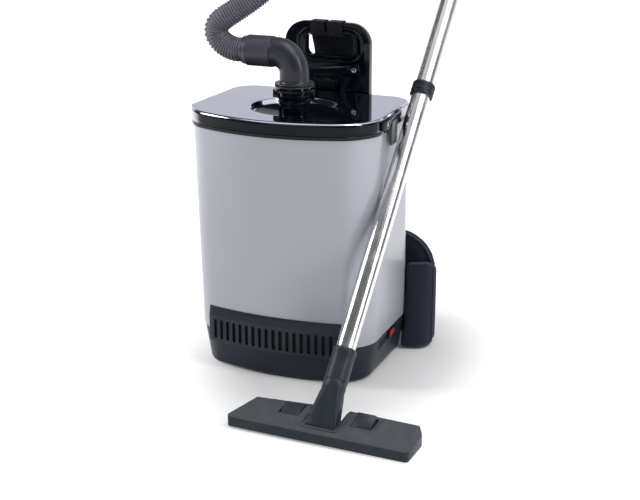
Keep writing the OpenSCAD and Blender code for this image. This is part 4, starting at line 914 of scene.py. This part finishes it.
class VACUUM_OT_hose(bpy.types.Operator):
    """Ribbed hose from the elbow's cuff to the handle's cuff"""

    bl_idname = "vacuum.hose"
    bl_label = "Hose"

    def execute(self, context):
        route = smooth_route([Vector(p) for p in HOSE_ROUTE])
        full = route_length(route)
        count = round(full / sizes().rib_pitch)
        pitch = full / count
        crest, groove = 0.0203, 0.0203 - sizes().rib_depth
        stations = [(0, groove), (0.16, groove), (0.36, crest), (0.66, crest), (0.86, groove)]
        rings = [
            [Vector((share * pitch, radius * math.cos(a), radius * math.sin(a)))
             for a in (2 * math.pi * i / HOSE_SIDES for i in range(HOSE_SIDES))]
            for share, radius in [*stations, (1, groove)]
        ]
        bpy.ops.mesh.primitive_grid_add(x_subdivisions=HOSE_SIDES, y_subdivisions=len(rings) - 1)
        hose = named("hose_ribbed")
        for vert in hose.data.vertices:
            row, column = divmod(vert.index, HOSE_SIDES + 1)
            vert.co = rings[row][column % HOSE_SIDES]
        with editing(hose):
            bpy.ops.mesh.remove_doubles(threshold=0.00001)
        apply_modifier(
            hose, "ARRAY", count=count, use_relative_offset=False, use_constant_offset=True,
            constant_offset_displace=(pitch, 0, 0), use_merge_vertices=True, merge_threshold=0.00005,
        )
        line = curve_through("hose_line", route)
        apply_modifier(hose, "CURVE", object=line, deform_axis="POS_X")
        bpy.data.objects.remove(line)
        with editing(hose, "DESELECT"):
            bpy.ops.mesh.select_non_manifold()
            bpy.ops.mesh.edge_face_add()
        close_up(hose, 0.00001)
        smooth(hose, 60)
        dress(hose, finish("hose_skin"))
        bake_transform(hose)
        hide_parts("hose")
        return {"FINISHED"}


# ---- Shell of the machine
def window(low, high):
    """Box that opens the front behind the grille"""
    return brick("window", (-118, -229, low), (118, -50, high))


class VACUUM_OT_casing(bpy.types.Operator):
    """Silver casing and the dark rim that the lid closes on"""

    bl_idname = "vacuum.casing"
    bl_label = "Casing"

    def execute(self, context):
        top, low = CASING_TOP, BASE_TOP
        heights = [low + 1.4 + (top - 2.4 - low) * i / 10 for i in range(11)]
        rings = [
            at_height(casing_outline(low, 1.2), low + 0.05),
            at_height(casing_outline(low, 0.3), low + 0.5),
        ]
        rings += [at_height(casing_outline(z), z) for z in heights]
        rings += [at_height(casing_outline(top, 0.7), top - 0.1)]
        rings += [at_height(casing_outline(z, 3.0), z) for z in (top - 0.1, mix(low, top, 0.5), low + 0.05)]
        casing = loft("casing_shell", rings, closed=True)
        cut(casing, window(60, 96))
        smooth(casing, 30)
        hand_over(casing, "machine", "casing_silver", "silver_lacquer", "casing", matrix=Matrix())

        outer, skirt = lid_outline(0.4), lid_outline(0.0)
        rings = [
            at_height(casing_outline(top, -0.5), top - 4.5), at_height(skirt, top - 4.4),
            at_height(skirt, RIM_TOP - 0.5), at_height(outer, RIM_TOP - 0.05),
            at_height(casing_outline(top, 6.8), RIM_TOP - 0.05), at_height(casing_outline(top, 6.8), top - 9),
            at_height(casing_outline(top, 3.8), top - 9), at_height(casing_outline(top, 3.8), top + 0.05),
            at_height(casing_outline(top, -0.5), top + 0.05),
        ]
        rim = smooth(loft("casing_rim_band", rings, closed=True), 30)
        hand_over(rim, "machine", "dark_plastic", "gloss_black", "casing_rim", matrix=Matrix())
        return {"FINISHED"}


def slot_cutter(width, reach, depth, matrix):
    """Round-ended slot as a solid to cut with; its length is along Z and its depth along Y"""
    solid = prism("slot_cutter", round_rect(width, reach, width / 2 - 0.01, 6), -depth / 2, depth / 2)
    return stood(solid, matrix @ turned_by(math.pi / 2, "X"))


class VACUUM_OT_base(bpy.types.Operator):
    """Base moulding with its rounded foot, side vents and openings"""

    bl_idname = "vacuum.base"
    bl_label = "Base"

    def execute(self, context):
        arc = [(math.radians(a), 5.0) for a in (0, 22.5, 45, 67.5, 90)]
        rings = [
            at_height(base_outline(BASE_LOW + r * (1 - math.cos(a)), r * (1 - math.sin(a))),
                      BASE_LOW + r * (1 - math.cos(a)))
            for a, r in arc
        ]
        rings += [at_height(base_outline(z), z) for z in (22, 38, 52, BASE_TOP - 0.8)]
        rings += [
            at_height(base_outline(section, inset), z)
            for section, inset, z in (
                (BASE_TOP, 0.8, BASE_TOP), (BASE_TOP, 12, BASE_TOP), (BASE_TOP, 12, BASE_TOP - 6),
                (BASE_TOP - 8, 4, BASE_TOP - 8), (10, 6, 6),
            )
        ]
        base = loft("base_moulding", rings)
        wall = base_side(1, -18, 50)
        vents = [
            slot_cutter(4.4, 18, 40, wall @ moved(0, (i - 2) * 8) @ turned_by(math.pi / 2, "Z"))
            for i in range(5)
        ]
        cut(
            base, window(53, 70), joined(vents),
            stood(brick("switch_hole", (-20, -14, -6.5), (10, 14, 6.5)), base_side(1, 21, 56)),
            stood(lathe("gland_hole", [(0, -30), (7, -30), (7, 30), (0, 30)], 32),
                  moved(-153, 62, 34) @ turned_by(math.pi / 2, "Y")),
        )
        smooth(base, 34)
        hand_over(base, "machine", "navy_plastic", "navy_plastic", "base_housing", matrix=Matrix())
        return {"FINISHED"}


def front_point(x, section, inset, z):
    """Point at x on the front of the casing's section, inset or stood out from it, at height z"""
    front = sorted(p for p in casing_outline(section, inset) if p[1] < -70)
    for a, b in zip(front, front[1:]):
        if a[0] <= x <= b[0]:
            return Vector((x, mix(a[1], b[1], (x - a[0]) / max(b[0] - a[0], 0.001)), z))
    raise ValueError("no front at %s" % x)


class VACUUM_OT_grille(bpy.types.Operator):
    """Exhaust grille: a curved band with round-ended slots under a sloping ledge"""

    bl_idname = "vacuum.grille"
    bl_label = "Exhaust grille"

    def execute(self, context):
        # Section of the band, from the foot of its face over the ledge and back inside
        section = [
            (97, -5.2, 49.0), (97, -6.0, 49.8), (97, -6.0, 95.0), (97, -5.9, 96.2), (98, -5.6, 97.3),
            (101, -4.8, 100.4), (105, -3.6, 105), (109, -2.6, 109), (111, -1.6, 110.7), (111, -0.3, 111),
            (97, -0.3, 96.4), (97, -3.0, 95.4), (97, -3.0, 52), (67, -0.3, 52), (67, -0.3, 49),
        ]
        steps = range(-GRILLE_STEPS, GRILLE_STEPS + 1)
        across = [GRILLE_HALF_W * i / GRILLE_STEPS for i in steps]
        grille = loft("exhaust_grille_band", [[front_point(x, *row) for row in section] for x in across])
        end = [(97, -5.6, 49.4), (97, -5.6, 96), (97, -0.3, 96.8), (67, -0.3, 67), (67, -0.3, 49.4)]
        for side in (-1, 1):
            cheek = loft("cheek", [[front_point(side * x, *row) for row in end] for x in (120, 123, 126.6)])
            cut(grille, cheek, operation="UNION")
        slots = []
        for i in range(SLOT_COUNT):
            x = (i - (SLOT_COUNT - 1) / 2) * SLOT_SPAN / (SLOT_COUNT - 1)
            y = FACE_Y - FACE_BULGE * (1 - (2 * x / FACE_W) ** 2)
            turn = math.atan(FACE_BULGE * 8 * x / FACE_W**2)
            stand = moved(x, y, SLOT_Z) @ turned_by(turn, "Z")
            slots.append(slot_cutter(SLOT_W, SLOT_L, 30, stand))
        cut(grille, joined(slots))
        soften(grille, 0.8, 3, 50)
        smooth(grille, 40)
        hand_over(grille, "machine", "navy_plastic", "navy_plastic", "exhaust_grille", matrix=Matrix())
        return {"FINISHED"}


def around_inlet(outline, radius, z):
    """Circle round the inlet with one point for each point of the outline, at the same bearing"""
    found = []
    for x, y in outline:
        d = Vector((x, y, 0)) - INLET
        found.append(INLET + d.normalized() * radius + Vector((0, 0, z)))
    return found


class VACUUM_OT_lid(bpy.types.Operator):
    """Polished lid with its round dish"""

    bl_idname = "vacuum.lid"
    bl_label = "Lid"

    def execute(self, context):
        out = lid_outline()

        def edge(inset, z):
            return at_height(lid_outline(inset), z)

        def dish(radius, z):
            return around_inlet(out, radius, z)

        t = LID_TOP
        rings = [
            edge(1.0, LID_Z + 0.02), edge(0.3, LID_Z + 0.2), edge(0, LID_Z + 0.8),
            edge(0, LID_Z + 7), edge(0, t - 8), edge(0, t - 5.2),
            edge(0.12, t - 4.2), edge(0.5, t - 3.0), edge(1.1, t - 1.9), edge(2.0, t - 0.9),
            edge(3.1, t - 0.3), edge(4.6, t - 0.05), edge(6.5, t), edge(11, t),
            dish(76.5, t), dish(75.2, t), dish(74.4, t - 0.25), dish(73.8, t - 0.8), dish(69.2, t - 5.6),
            dish(68.7, t - 6.3), dish(67.8, t - 7.1), dish(66.2, t - 7.9), dish(63.6, t - 8.5),
            dish(60, t - 9.1), dish(44, t - 12.2), dish(26.6, t - 13.4), dish(26.6, t - 15.5),
            dish(50, t - 15.5), dish(72, t - 15.5),
            dish(74.5, t - 15), dish(74.5, t - 3.6), edge(12, t - 3.5), edge(3.6, t - 3.5), edge(3.5, t - 5),
            edge(3.5, LID_Z + 0.02),
        ]
        lid = smooth(loft("lid_shell", rings, closed=True), 50)
        hand_over(lid, "lid", "gloss_black", "lid_gloss", "lid", matrix=Matrix())
        return {"FINISHED"}


def tube_rings(stations, sides=48, across=Y_AXIS):
    """Rings of points round (centre, direction, radius) stations"""
    rings = []
    for centre, direction, radius in stations:
        t = Vector(direction).normalized()
        a = (across - t * across.dot(t)).normalized()
        b = t.cross(a)
        rings.append([
            Vector(centre) + radius * (a * math.cos(w) + b * math.sin(w))
            for w in (2 * math.pi * i / sides for i in range(sides))
        ])
    return rings


class VACUUM_OT_inlet(bpy.types.Operator):
    """Inlet socket, lock ring, elbow and the hose's cuff"""

    bl_idname = "vacuum.inlet"
    bl_label = "Inlet and elbow"

    def execute(self, context):
        socket = lathe("inlet_socket_body", [
            (19.9, SOCKET_LOW), (26.0, SOCKET_LOW), (26.5, SOCKET_LOW + 0.8), (26.5, 435.7), (34.5, 435.7),
            (34.5, 438.7), (26.5, 438.7), (26.5, 461.5), (27.6, 462.5), (27.6, 465), (26.5, 466),
            (26.3, 467.8), (25.8, SOCKET_TOP), (22.7, SOCKET_TOP), (22.7, 440), (19.9, 440),
        ])
        smooth(socket, 35)
        hand_over(socket, "lid", "gloss_black", "gloss_black", "inlet_socket", matrix=moved(1, -35))

        ring = copy_of("lock_ring", "lock_ring_body", 0.0007, 3, 35, 40)
        hand_over(ring, "lock_ring", "gloss_black", "gloss_black", "lock_ring")

        stations = [((0, 0, z), Z_AXIS, r) for z, r in (
            (440, 22.4), (SOCKET_TOP + 0.4, 22.4), (SOCKET_TOP + 0.5, 23.5), (488.7, 23.5), (488.8, 28.5),
            (ELBOW_LOW, 32.2), (489.4, 32.9), (490.6, 32.9), (491.3, 32.3), (491.5, 29.2), (492.2, 29.2),
            (492.6, 32.4), (493.2, 32.9), (494.1, 32.9), (494.8, 32.4), (495.1, 28.6), (495.5, 26.2),
            (497.2, 24.9), (500, 24.6), (505, 24.6), (ARM_Z - ELBOW_BEND, 24.6),
        )]

        def bend(order, radius):
            centre = Vector((-ELBOW_BEND, 0, ARM_Z - ELBOW_BEND))
            for i in order:
                w = math.radians(90 * i / 24)
                spot = centre + ELBOW_BEND * Vector((math.cos(w), 0, math.sin(w)))
                yield spot, (-math.sin(w), 0, math.cos(w)), radius

        stations += bend(range(1, 25), 24.6)
        stations += [((x, 0, ARM_Z), -X_AXIS, r) for x, r in (
            (-35.2, 24.6), (-35.9, 24.2), (-36.0, 22.5), (-57, 22.4), (-58, 20.0), (-36, 20.0))]
        stations += [*bend(range(24, -1, -1), 20.0), ((0, 0, 440), Z_AXIS, 20.0)]
        elbow = loft("elbow_pipe", tube_rings(stations, 56), closed=True)
        smooth(elbow, 40)
        hand_over(elbow, "lid", "dark_plastic", "dark_plastic", "elbow", matrix=moved(1, -35))

        outline = [
            (22.6, 0.3), (24.9, 0.3), (25.6, 0.9), (25.8, 1.8), (25.8, 6), (25.8, 38), (25.8, 44.6),
            (25.5, 45.6), (24.4, 47.0), (23.7, 48.0), (23.6, 49), (23.6, 52.2), (23.2, 53), (17.6, 53),
            (17.6, 24), (22.6, 24),
        ]
        cuff = smooth(lathe("hose_cuff_body", outline), 40)
        hand_over(cuff, "hose_cuff", "dark_plastic", "cuff_plastic", "hose_cuff", matrix=CUFF)
        return {"FINISHED"}


# ---- Wand
class VACUUM_OT_wand(bpy.types.Operator):
    """Steel tubes, their collar, the bent handle and its cuff"""

    bl_idname = "vacuum.wand"
    bl_label = "Wand"

    def execute(self, context):
        def tube(name, start):
            outline = [(15, 0), (15.6, 0), (16, 0.5), (16, 4), (16, 490), (16, 493.5), (15.6, 494), (15, 494)]
            body = smooth(lathe(name, outline, 80), 40)
            node = name.replace("_tube", "_wand")
            stand = WAND @ moved(z=start)
            return hand_over(body, "machine", "steel_tube", "steel_tube", node, matrix=stand)

        tube("lower_tube", 98)
        tube("upper_tube", 592.3)
        collar = lathe("collar_sleeve", [
            (16.1, 0), (18.6, 0), (19.4, 0.8), (19.6, 2), (19.6, 5.5), (18.9, 6), (18.9, 7), (19.6, 7.5),
            (19.6, 15.5), (18.9, 16), (18.9, 17), (19.6, 17.5), (19.6, 21), (19.4, 22.2), (18.6, 23),
            (16.1, 23),
        ])
        smooth(collar, 40)
        stand = WAND @ moved(z=580.5)
        hand_over(collar, "machine", "navy_plastic", "navy_plastic", "wand_collar", matrix=stand)
        neck = lathe("neck_sleeve", [
            (13, 0), (18.6, 0), (19.2, 0.7), (19.2, 6), (18.9, 30), (18.8, 44), (19.3, 45.5), (19.3, 51),
            (18.7, 53.2), (17.8, 54), (16.1, 54), (16.1, 23.7), (13, 23.7),
        ])
        smooth(neck, 40)
        stand = WAND @ moved(z=74)
        hand_over(neck, "machine", "navy_plastic", "neck_plastic", "neck_socket", matrix=stand)

        handle = copy_of("handle_tube", "handle_grip_tube", 0.0006, 2, 40, 45)
        hand_over(handle, "machine", "dark_plastic", "dark_plastic", "handle_tube")
        slider = copy_of("suction_slider", "slider_ring", 0.0005, 2, 40, 45)
        hand_over(slider, "slider", "grey_plastic", "grey_plastic", "suction_slider")
        end = lathe("hose_end_sleeve", [
            (17.6, 0), (20.8, 0), (21.8, 0.6), (22, 1.6), (22, 8), (21.4, 9), (22, 10), (22, 45),
            (21.6, 47.5), (20.4, 50), (16.5, 50), (16.5, 31), (17.6, 31),
        ])
        smooth(end, 40)
        stand = HANDLE_END @ moved(z=90)
        hand_over(end, "machine", "dark_plastic", "cuff_plastic", "hose_end_cuff", matrix=stand)
        return {"FINISHED"}


# ---- Pieces whose frame shape is right: a merged copy with rounded edges
EASED = (
    ("rubber_feet", "machine", "rubber", "rubber", 0.0004),
    ("cable_inlet", "machine", "rubber", "rubber", 0.0005),
    ("switch_bezel", "machine", "dark_plastic", "gloss_black", 0.0005),
    ("switch_rocker", "switch", "switch_red", "switch_red", 0.0005),
    ("latch_brackets", "lid", "gloss_black", "gloss_black", 0.0007),
    ("latch_screws", "lid", "steel", "bright_steel", 0.0002),
    ("latch_pins", "lid", "steel", "bright_steel", 0.0003),
    ("latch_lever_left", "latch_left", "grey_plastic", "grey_plastic", 0.0006),
    ("latch_lever_right", "latch_right", "grey_plastic", "grey_plastic", 0.0006),
    ("carry_plate", "machine", "gloss_black", "gloss_black", 0.0009),
    ("plate_screws", "machine", "steel", "bright_steel", 0.0003),
    ("plate_catch", "catch", "gloss_black", "gloss_black", 0.0004),
    ("catch_pin", "machine", "steel", "bright_steel", 0.0002),
    ("back_frame", "machine", "dark_plastic", "dark_plastic", 0.0008),
    ("neck_knuckle", "knuckle", "navy_plastic", "neck_plastic", 0.0010),
    ("tool_shell", "tool_head", "navy_plastic", "tool_plastic", 0.0010),
    ("sole_plate", "tool_head", "steel", "bright_steel", 0.0003),
    ("pedal_left", "pedal_left", "navy_plastic", "neck_plastic", 0.0009),
    ("pedal_right", "pedal_right", "navy_plastic", "neck_plastic", 0.0009),
    ("tool_wheels", "wheels", "rubber", "rubber", 0.0006),
    ("brush_strips", "brush", "bristle", "bristle", 0.0003),
)


def reshaped(obj, matrix, change):
    """Moves each point of a piece by a rule given in the frame of matrix"""
    back = matrix.inverted()
    for vert in obj.data.vertices:
        vert.co = matrix @ change(back @ vert.co)
    return obj


def rounder_rear(p):
    """Widens the floor tool's rear corners from 18 mm to REAR_R"""
    side = 1 if p.x > 0 else -1
    radius = REAR_R[side]
    middle_x, middle_y = TOOL_HALF_W - radius, TOOL_HALF_D - radius
    u, v = side * p.x - middle_x, p.y - middle_y
    if u <= 0.01 or v <= 0.01:
        return p
    far = math.hypot(u, v)
    a, b = u / far, v / far
    start = radius - TOOL_CAD_R
    reach = radius / max(a, b)
    if min(a, b) * reach > start:
        along = start * (a + b)
        reach = along + math.sqrt(along * along - 2 * start * start + TOOL_CAD_R**2)
    return Vector((side * (middle_x + u * radius / reach), middle_y + v * radius / reach, p.z))


def slimmer(middle, share):
    """Rule that narrows a piece in X towards the nearest of the given middles"""
    def change(p):
        nearest = min(middle, key=lambda m: abs(m - p.x))
        return Vector((nearest + (p.x - nearest) * share, p.y, p.z))
    return change


def rib(name, path, radius, across=Z_AXIS, sides=12, closed=False):
    """Round bar along a path"""
    stations = []
    for i, point in enumerate(path):
        last, following = (path[i - 1], path[(i + 1) % len(path)]) if closed else (
            path[max(i - 1, 0)], path[min(i + 1, len(path) - 1)])
        stations.append((point, Vector(following) - Vector(last), radius))
    return smooth(loft(name, tube_rings(stations, sides, across), closed=closed), 50)


def snapped(obj, path, lift, closed=True):
    """The path, in the machine's frame, laid on a piece that already stands in the row frame"""
    laid = []
    for point in path:
        _, spot, normal, _ = obj.closest_point_on_mesh(MACHINE @ Vector(point))
        laid.append(MACHINE.inverted() @ (spot + normal * lift * 0.001))
    before, after = (laid[-1:], laid[:1]) if closed else (laid[:1], laid[-1:])
    return [(a + b * 2 + c) / 4 for a, b, c in zip(before + laid[:-1], laid, laid[1:] + after)]


def tool_top(x, y):
    """Point on the floor tool's sloping top"""
    return Vector((x, y, TOP_LOW + (y + 35) * TOP_RISE / TOP_RUN))


class VACUUM_OT_fittings(bpy.types.Operator):
    """Small mouldings and metal parts with their edges rounded"""

    bl_idname = "vacuum.fittings"
    bl_label = "Fittings"

    def execute(self, context):
        for node, body, slot, material, width in EASED:
            piece = copy_of(node, node + "_eased", width, 2)
            if node in ("tool_shell", "sole_plate"):
                reshaped(piece, MACHINE @ TOOL, rounder_rear)
            if node.startswith("pedal"):
                reshaped(piece, MACHINE @ TOOL, slimmer((-62, 62), 0.92))
            if node == "tool_shell":
                frame_line = [
                    (-31.5, 22), (-31.5, -22), *corner(-25.5, -25, 6, 180, 6),
                    *corner(25.5, -25, 6, 270, 6), (31.5, -22), (31.5, 22),
                ]
                ridge = rib("neck_frame", [tool_top(x, y) for x, y in frame_line], 1.5)
                cut(piece, stood(ridge, MACHINE @ TOOL), operation="UNION")
            if node == "carry_plate":
                hoop = [(x + 4, 116, z + 532.8) for x, z in round_rect(118, 58, 26, 8)]
                hoop = rib("grip_hoop", hoop, 2.4, Y_AXIS, closed=True)
                cut(piece, stood(hoop, MACHINE), operation="UNION")
            smooth(piece)
            hand_over(piece, body, slot, material, node)
        return {"FINISHED"}


# ---- Soft goods
def stuffed(obj, voxel, pressure, cap, frames=20):
    """Fills a closed form in place: remesh, cloth under pressure, movement capped, one subdivision"""
    apply_modifier(obj, "REMESH", mode="VOXEL", voxel_size=voxel)
    start = [v.co.copy() for v in obj.data.vertices]
    only(obj)
    cloth = obj.modifiers.new("Cloth", "CLOTH")
    cloth.settings.effector_weights.gravity = 0
    cloth.settings.use_pressure = True
    cloth.settings.uniform_pressure_force = pressure
    cloth.settings.quality = 5
    cloth.point_cache.frame_start, cloth.point_cache.frame_end = 1, frames
    scene = bpy.context.scene
    for number in range(1, frames + 1):
        scene.frame_set(number)
    bpy.ops.object.modifier_apply(modifier=cloth.name)
    scene.frame_set(1)
    for vert, place in zip(obj.data.vertices, start):
        step = vert.co - place
        if step.length > cap:
            vert.co = place + step.normalized() * cap
    apply_modifier(obj, "SUBSURF", levels=1, render_levels=1)
    return smooth(obj, 180)


def panel(name, outline, low, high):
    """Flat closed form standing in X and Z between two depths along Y"""
    solid = prism(name, outline, low, high)
    turn = Matrix(((1, 0, 0, 0), (0, 0, 1, 0), (0, 1, 0, 0), (0, 0, 0, 1)))
    stood(solid, turn)
    close_up(solid)
    return solid


WING_EDGE = [
    (166, 84.6, 161), (180, 91, 162), (189, 97.6, 162), (194.4, 105.4, 159.6), (196.8, 113, 156.6),
    (197.9, 119, 151), (198.2, 121, 140), (198.2, 121, 100), (198.2, 121, 60), (198.2, 121, 20),
    (197.9, 119, 9), (196, 111, 6.6), (191.5, 101.5, 6.4), (184, 94.6, 6.4), (166, 85.6, 6.4),
]


WING_MIDDLE, WING_FALL, FALL_FROM, FALL_RUN = 100, 21, 100, 49.4
TUCK, TUCK_TOP, TUCK_SIDE, TUCK_RUN = 0.16, 67, 187, 24
HIP_HALF_W, HIP_H, HIP_R = 192, 197, 70


def tuck(p):
    """How far the wing's lower front edge is drawn in towards the casing"""
    if p.z >= TUCK_TOP:
        return 0
    return TUCK * (TUCK_TOP - p.z) * max(0, TUCK_SIDE - abs(p.x)) / TUCK_RUN


def hip_outline(inset):
    w, h, r = HIP_HALF_W - inset, HIP_H - inset, HIP_R - inset
    points = [(-w + 10, inset), (w - 10, inset), (w, 10 + inset)]
    points += corner(w - r, h - r, r, 0, 14)
    points += corner(-w + r, h - r, r, 90, 14)
    return points + [(-w, 10 + inset)]


class VACUUM_OT_pads(bpy.types.Operator):
    """Back pad, hip pad and the wings that fold round the casing"""

    bl_idname = "vacuum.pads"
    bl_label = "Pads"

    def execute(self, context):
        outline = [(x, z + 3) for x, z in hip_outline(0.8)]
        hip = panel("hip_pad_cushion", outline, 153, 168.5)
        stood(hip, MACHINE)
        stuffed(hip, 0.005, 4.0, 0.004)
        hand_over(hip, "machine", "navy_fabric", "navy_fabric", "hip_pad")
        welt = sizes().welt * 1000
        outline = [
            p
            for a, b in zip(outline, outline[1:] + outline[:1])
            for p in [a, *between(a, b, 12 if math.dist(a, b) > 60 else 2)]
        ]
        edges = [
            rib("welt", snapped(hip, [(x, y, z) for x, z in outline], 0.4 * welt), welt, Y_AXIS, 10, True)
            for y in (152.5, 169)
        ]
        piping = hand_over(joined(edges), "machine", "webbing", "piping", matrix=Matrix())
        piping.name = "hip_pad_piping"

        back = panel("back_pad_cushion", round_rect(222, 332, 38, 8, -2, 270), 138.2, 146.8)
        stood(back, MACHINE)
        stuffed(back, 0.005, 4.0, 0.005)
        hand_over(back, "machine", "navy_fabric", "navy_fabric", "back_pad")

        wing = [
            (188.4, 148), (198.9, 148), (198.9, 118.4), (196.0, 104.4), (190.0, 95.4), (180.2, 88.4),
            (163.0, 81.2), (163.0, 90.2), (175, 97), (185, 105.2), (188.4, 118),
        ]
        for side, node in ((1, "hip_wing_right"), (-1, "hip_wing_left")):
            flap = prism(node + "_cushion", [(side * x, y) for x, y in wing], 4.5, 163.6)
            for vert in flap.data.vertices:
                if vert.co.z > WING_MIDDLE:
                    vert.co.z -= WING_FALL * max(0, vert.co.y - FALL_FROM) / FALL_RUN
                vert.co.x -= side * tuck(vert.co)
            stood(flap, MACHINE)
            stuffed(flap, 0.004, 2.0, 0.003)
            hand_over(flap, "machine", "navy_fabric", "navy_fabric", node)
            line = smooth_route([Vector(p) for p in WING_EDGE], 5)
            for p in line:
                p.x = side * (p.x - tuck(p))
            line = snapped(flap, line, 0.8, closed=False)
            edge = rib(node + "_piping", line, sizes().welt * 900, Vector((0.3, 1, 0.1)), 10)
            hand_over(edge, "machine", "webbing", "piping", matrix=Matrix())
        return {"FINISHED"}


STRAP_PATH = [
    (20.9, 139, 562), (20.9, 146, 543), (20.9, 158, 515), (25, 170, 480), (36, 180, 440), (50, 183, 394.8),
    (68, 183, 344.5), (82, 181, 289.3), (92, 178, 239), (100, 177, 199), (108, 177, 164), (118, 177, 134),
]


class VACUUM_OT_straps(bpy.types.Operator):
    """Padded shoulder straps and the webbing loops on the carry bar"""

    bl_idname = "vacuum.straps"
    bl_label = "Straps"

    def execute(self, context):
        route = smooth_route([Vector(p) for p in STRAP_PATH], 8)
        section = round_rect(8.6, 42, 2.6, 5)
        for side, node in ((1, "shoulder_strap_right"), (-1, "shoulder_strap_left")):
            rings = []
            for i, point in enumerate(route):
                ahead, behind = route[min(i + 1, len(route) - 1)], route[max(i - 1, 0)]
                t = (ahead - behind).normalized()
                a = (Y_AXIS - t * Y_AXIS.dot(t)).normalized()
                b = t.cross(a)
                ring = [point + a * u * (1 - 0.25 * (v / 21) ** 4) + b * v for u, v in section]
                rings.append([Vector((side * p.x, p.y, p.z)) for p in ring])
            strap = smooth(loft(node + "_pad", rings), 50)
            hand_over(strap, "machine", "navy_fabric", "navy_fabric", node, matrix=Matrix())
        loops = copy_of("strap_loops", "strap_loops_webbing", 0.0006, 2, 40, 45)
        reshaped(loops, MACHINE, slimmer((-18, 14), 0.86))
        hand_over(loops, "machine", "webbing", "webbing", "strap_loops")
        return {"FINISHED"}


# ---- Frame nodes that stay as they are
INSIDE = {
    "exhaust_foam": "foam", "motor_drum": "dark_plastic", "motor_deck": "dark_plastic",
    "fan_housing": "bright_steel", "stator": "motor_iron", "motor_bearings": "bright_steel",
    "motor_seal": "rubber", "motor_shaft": "bright_steel", "armature": "copper_wire",
    "fan_wheel": "fan_metal", "cloth_filter": "filter_fleece",
    "filter_frame": "dark_plastic", "dust_bag": "bag_paper", "bag_collar": "card", "lid_gasket": "rubber",
}


class VACUUM_OT_inside(bpy.types.Operator):
    """Materials of the motor, filter and seals inside"""

    bl_idname = "vacuum.inside"
    bl_label = "Inside"

    def execute(self, context):
        for node, material in INSIDE.items():
            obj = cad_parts[node]
            if not obj.material_slots:
                obj.data.materials.append(finish(material))
            for slot in obj.material_slots:
                slot.material = finish(material)
        return {"FINISHED"}


STEPS = (
    VACUUM_OT_stage, VACUUM_OT_hose, VACUUM_OT_casing, VACUUM_OT_base, VACUUM_OT_grille, VACUUM_OT_lid,
    VACUUM_OT_inlet, VACUUM_OT_wand, VACUUM_OT_fittings, VACUUM_OT_pads, VACUUM_OT_straps, VACUUM_OT_inside,
)


class VACUUM_PT_panel(bpy.types.Panel):
    """Lists the sizes, the colours and the pieces"""

    bl_idname = "VACUUM_PT_panel"
    bl_label = "Backpack vacuum cleaner"
    bl_space_type = "VIEW_3D"
    bl_region_type = "UI"
    bl_category = "Vacuum"

    def draw(self, context):
        for holder in (context.scene.vacuum_sizes, context.scene.vacuum_colours):
            box = self.layout.box()
            for key in type(holder).__annotations__:
                box.prop(holder, key)
        for step in STEPS:
            self.layout.operator(step.bl_idname)


CLASSES = (VacuumSizes, VacuumColours, *STEPS, VACUUM_PT_panel)


def register():
    for cls in CLASSES:
        bpy.utils.register_class(cls)
    bpy.types.Scene.vacuum_sizes = bpy.props.PointerProperty(type=VacuumSizes)
    bpy.types.Scene.vacuum_colours = bpy.props.PointerProperty(type=VacuumColours)


def unregister():
    del bpy.types.Scene.vacuum_colours
    del bpy.types.Scene.vacuum_sizes
    for cls in reversed(CLASSES):
        bpy.utils.unregister_class(cls)


def main():
    register()
    for step in STEPS:
        area, name = step.bl_idname.split(".")
        getattr(getattr(bpy.ops, area), name)()


if __name__ == "__main__":
    main()
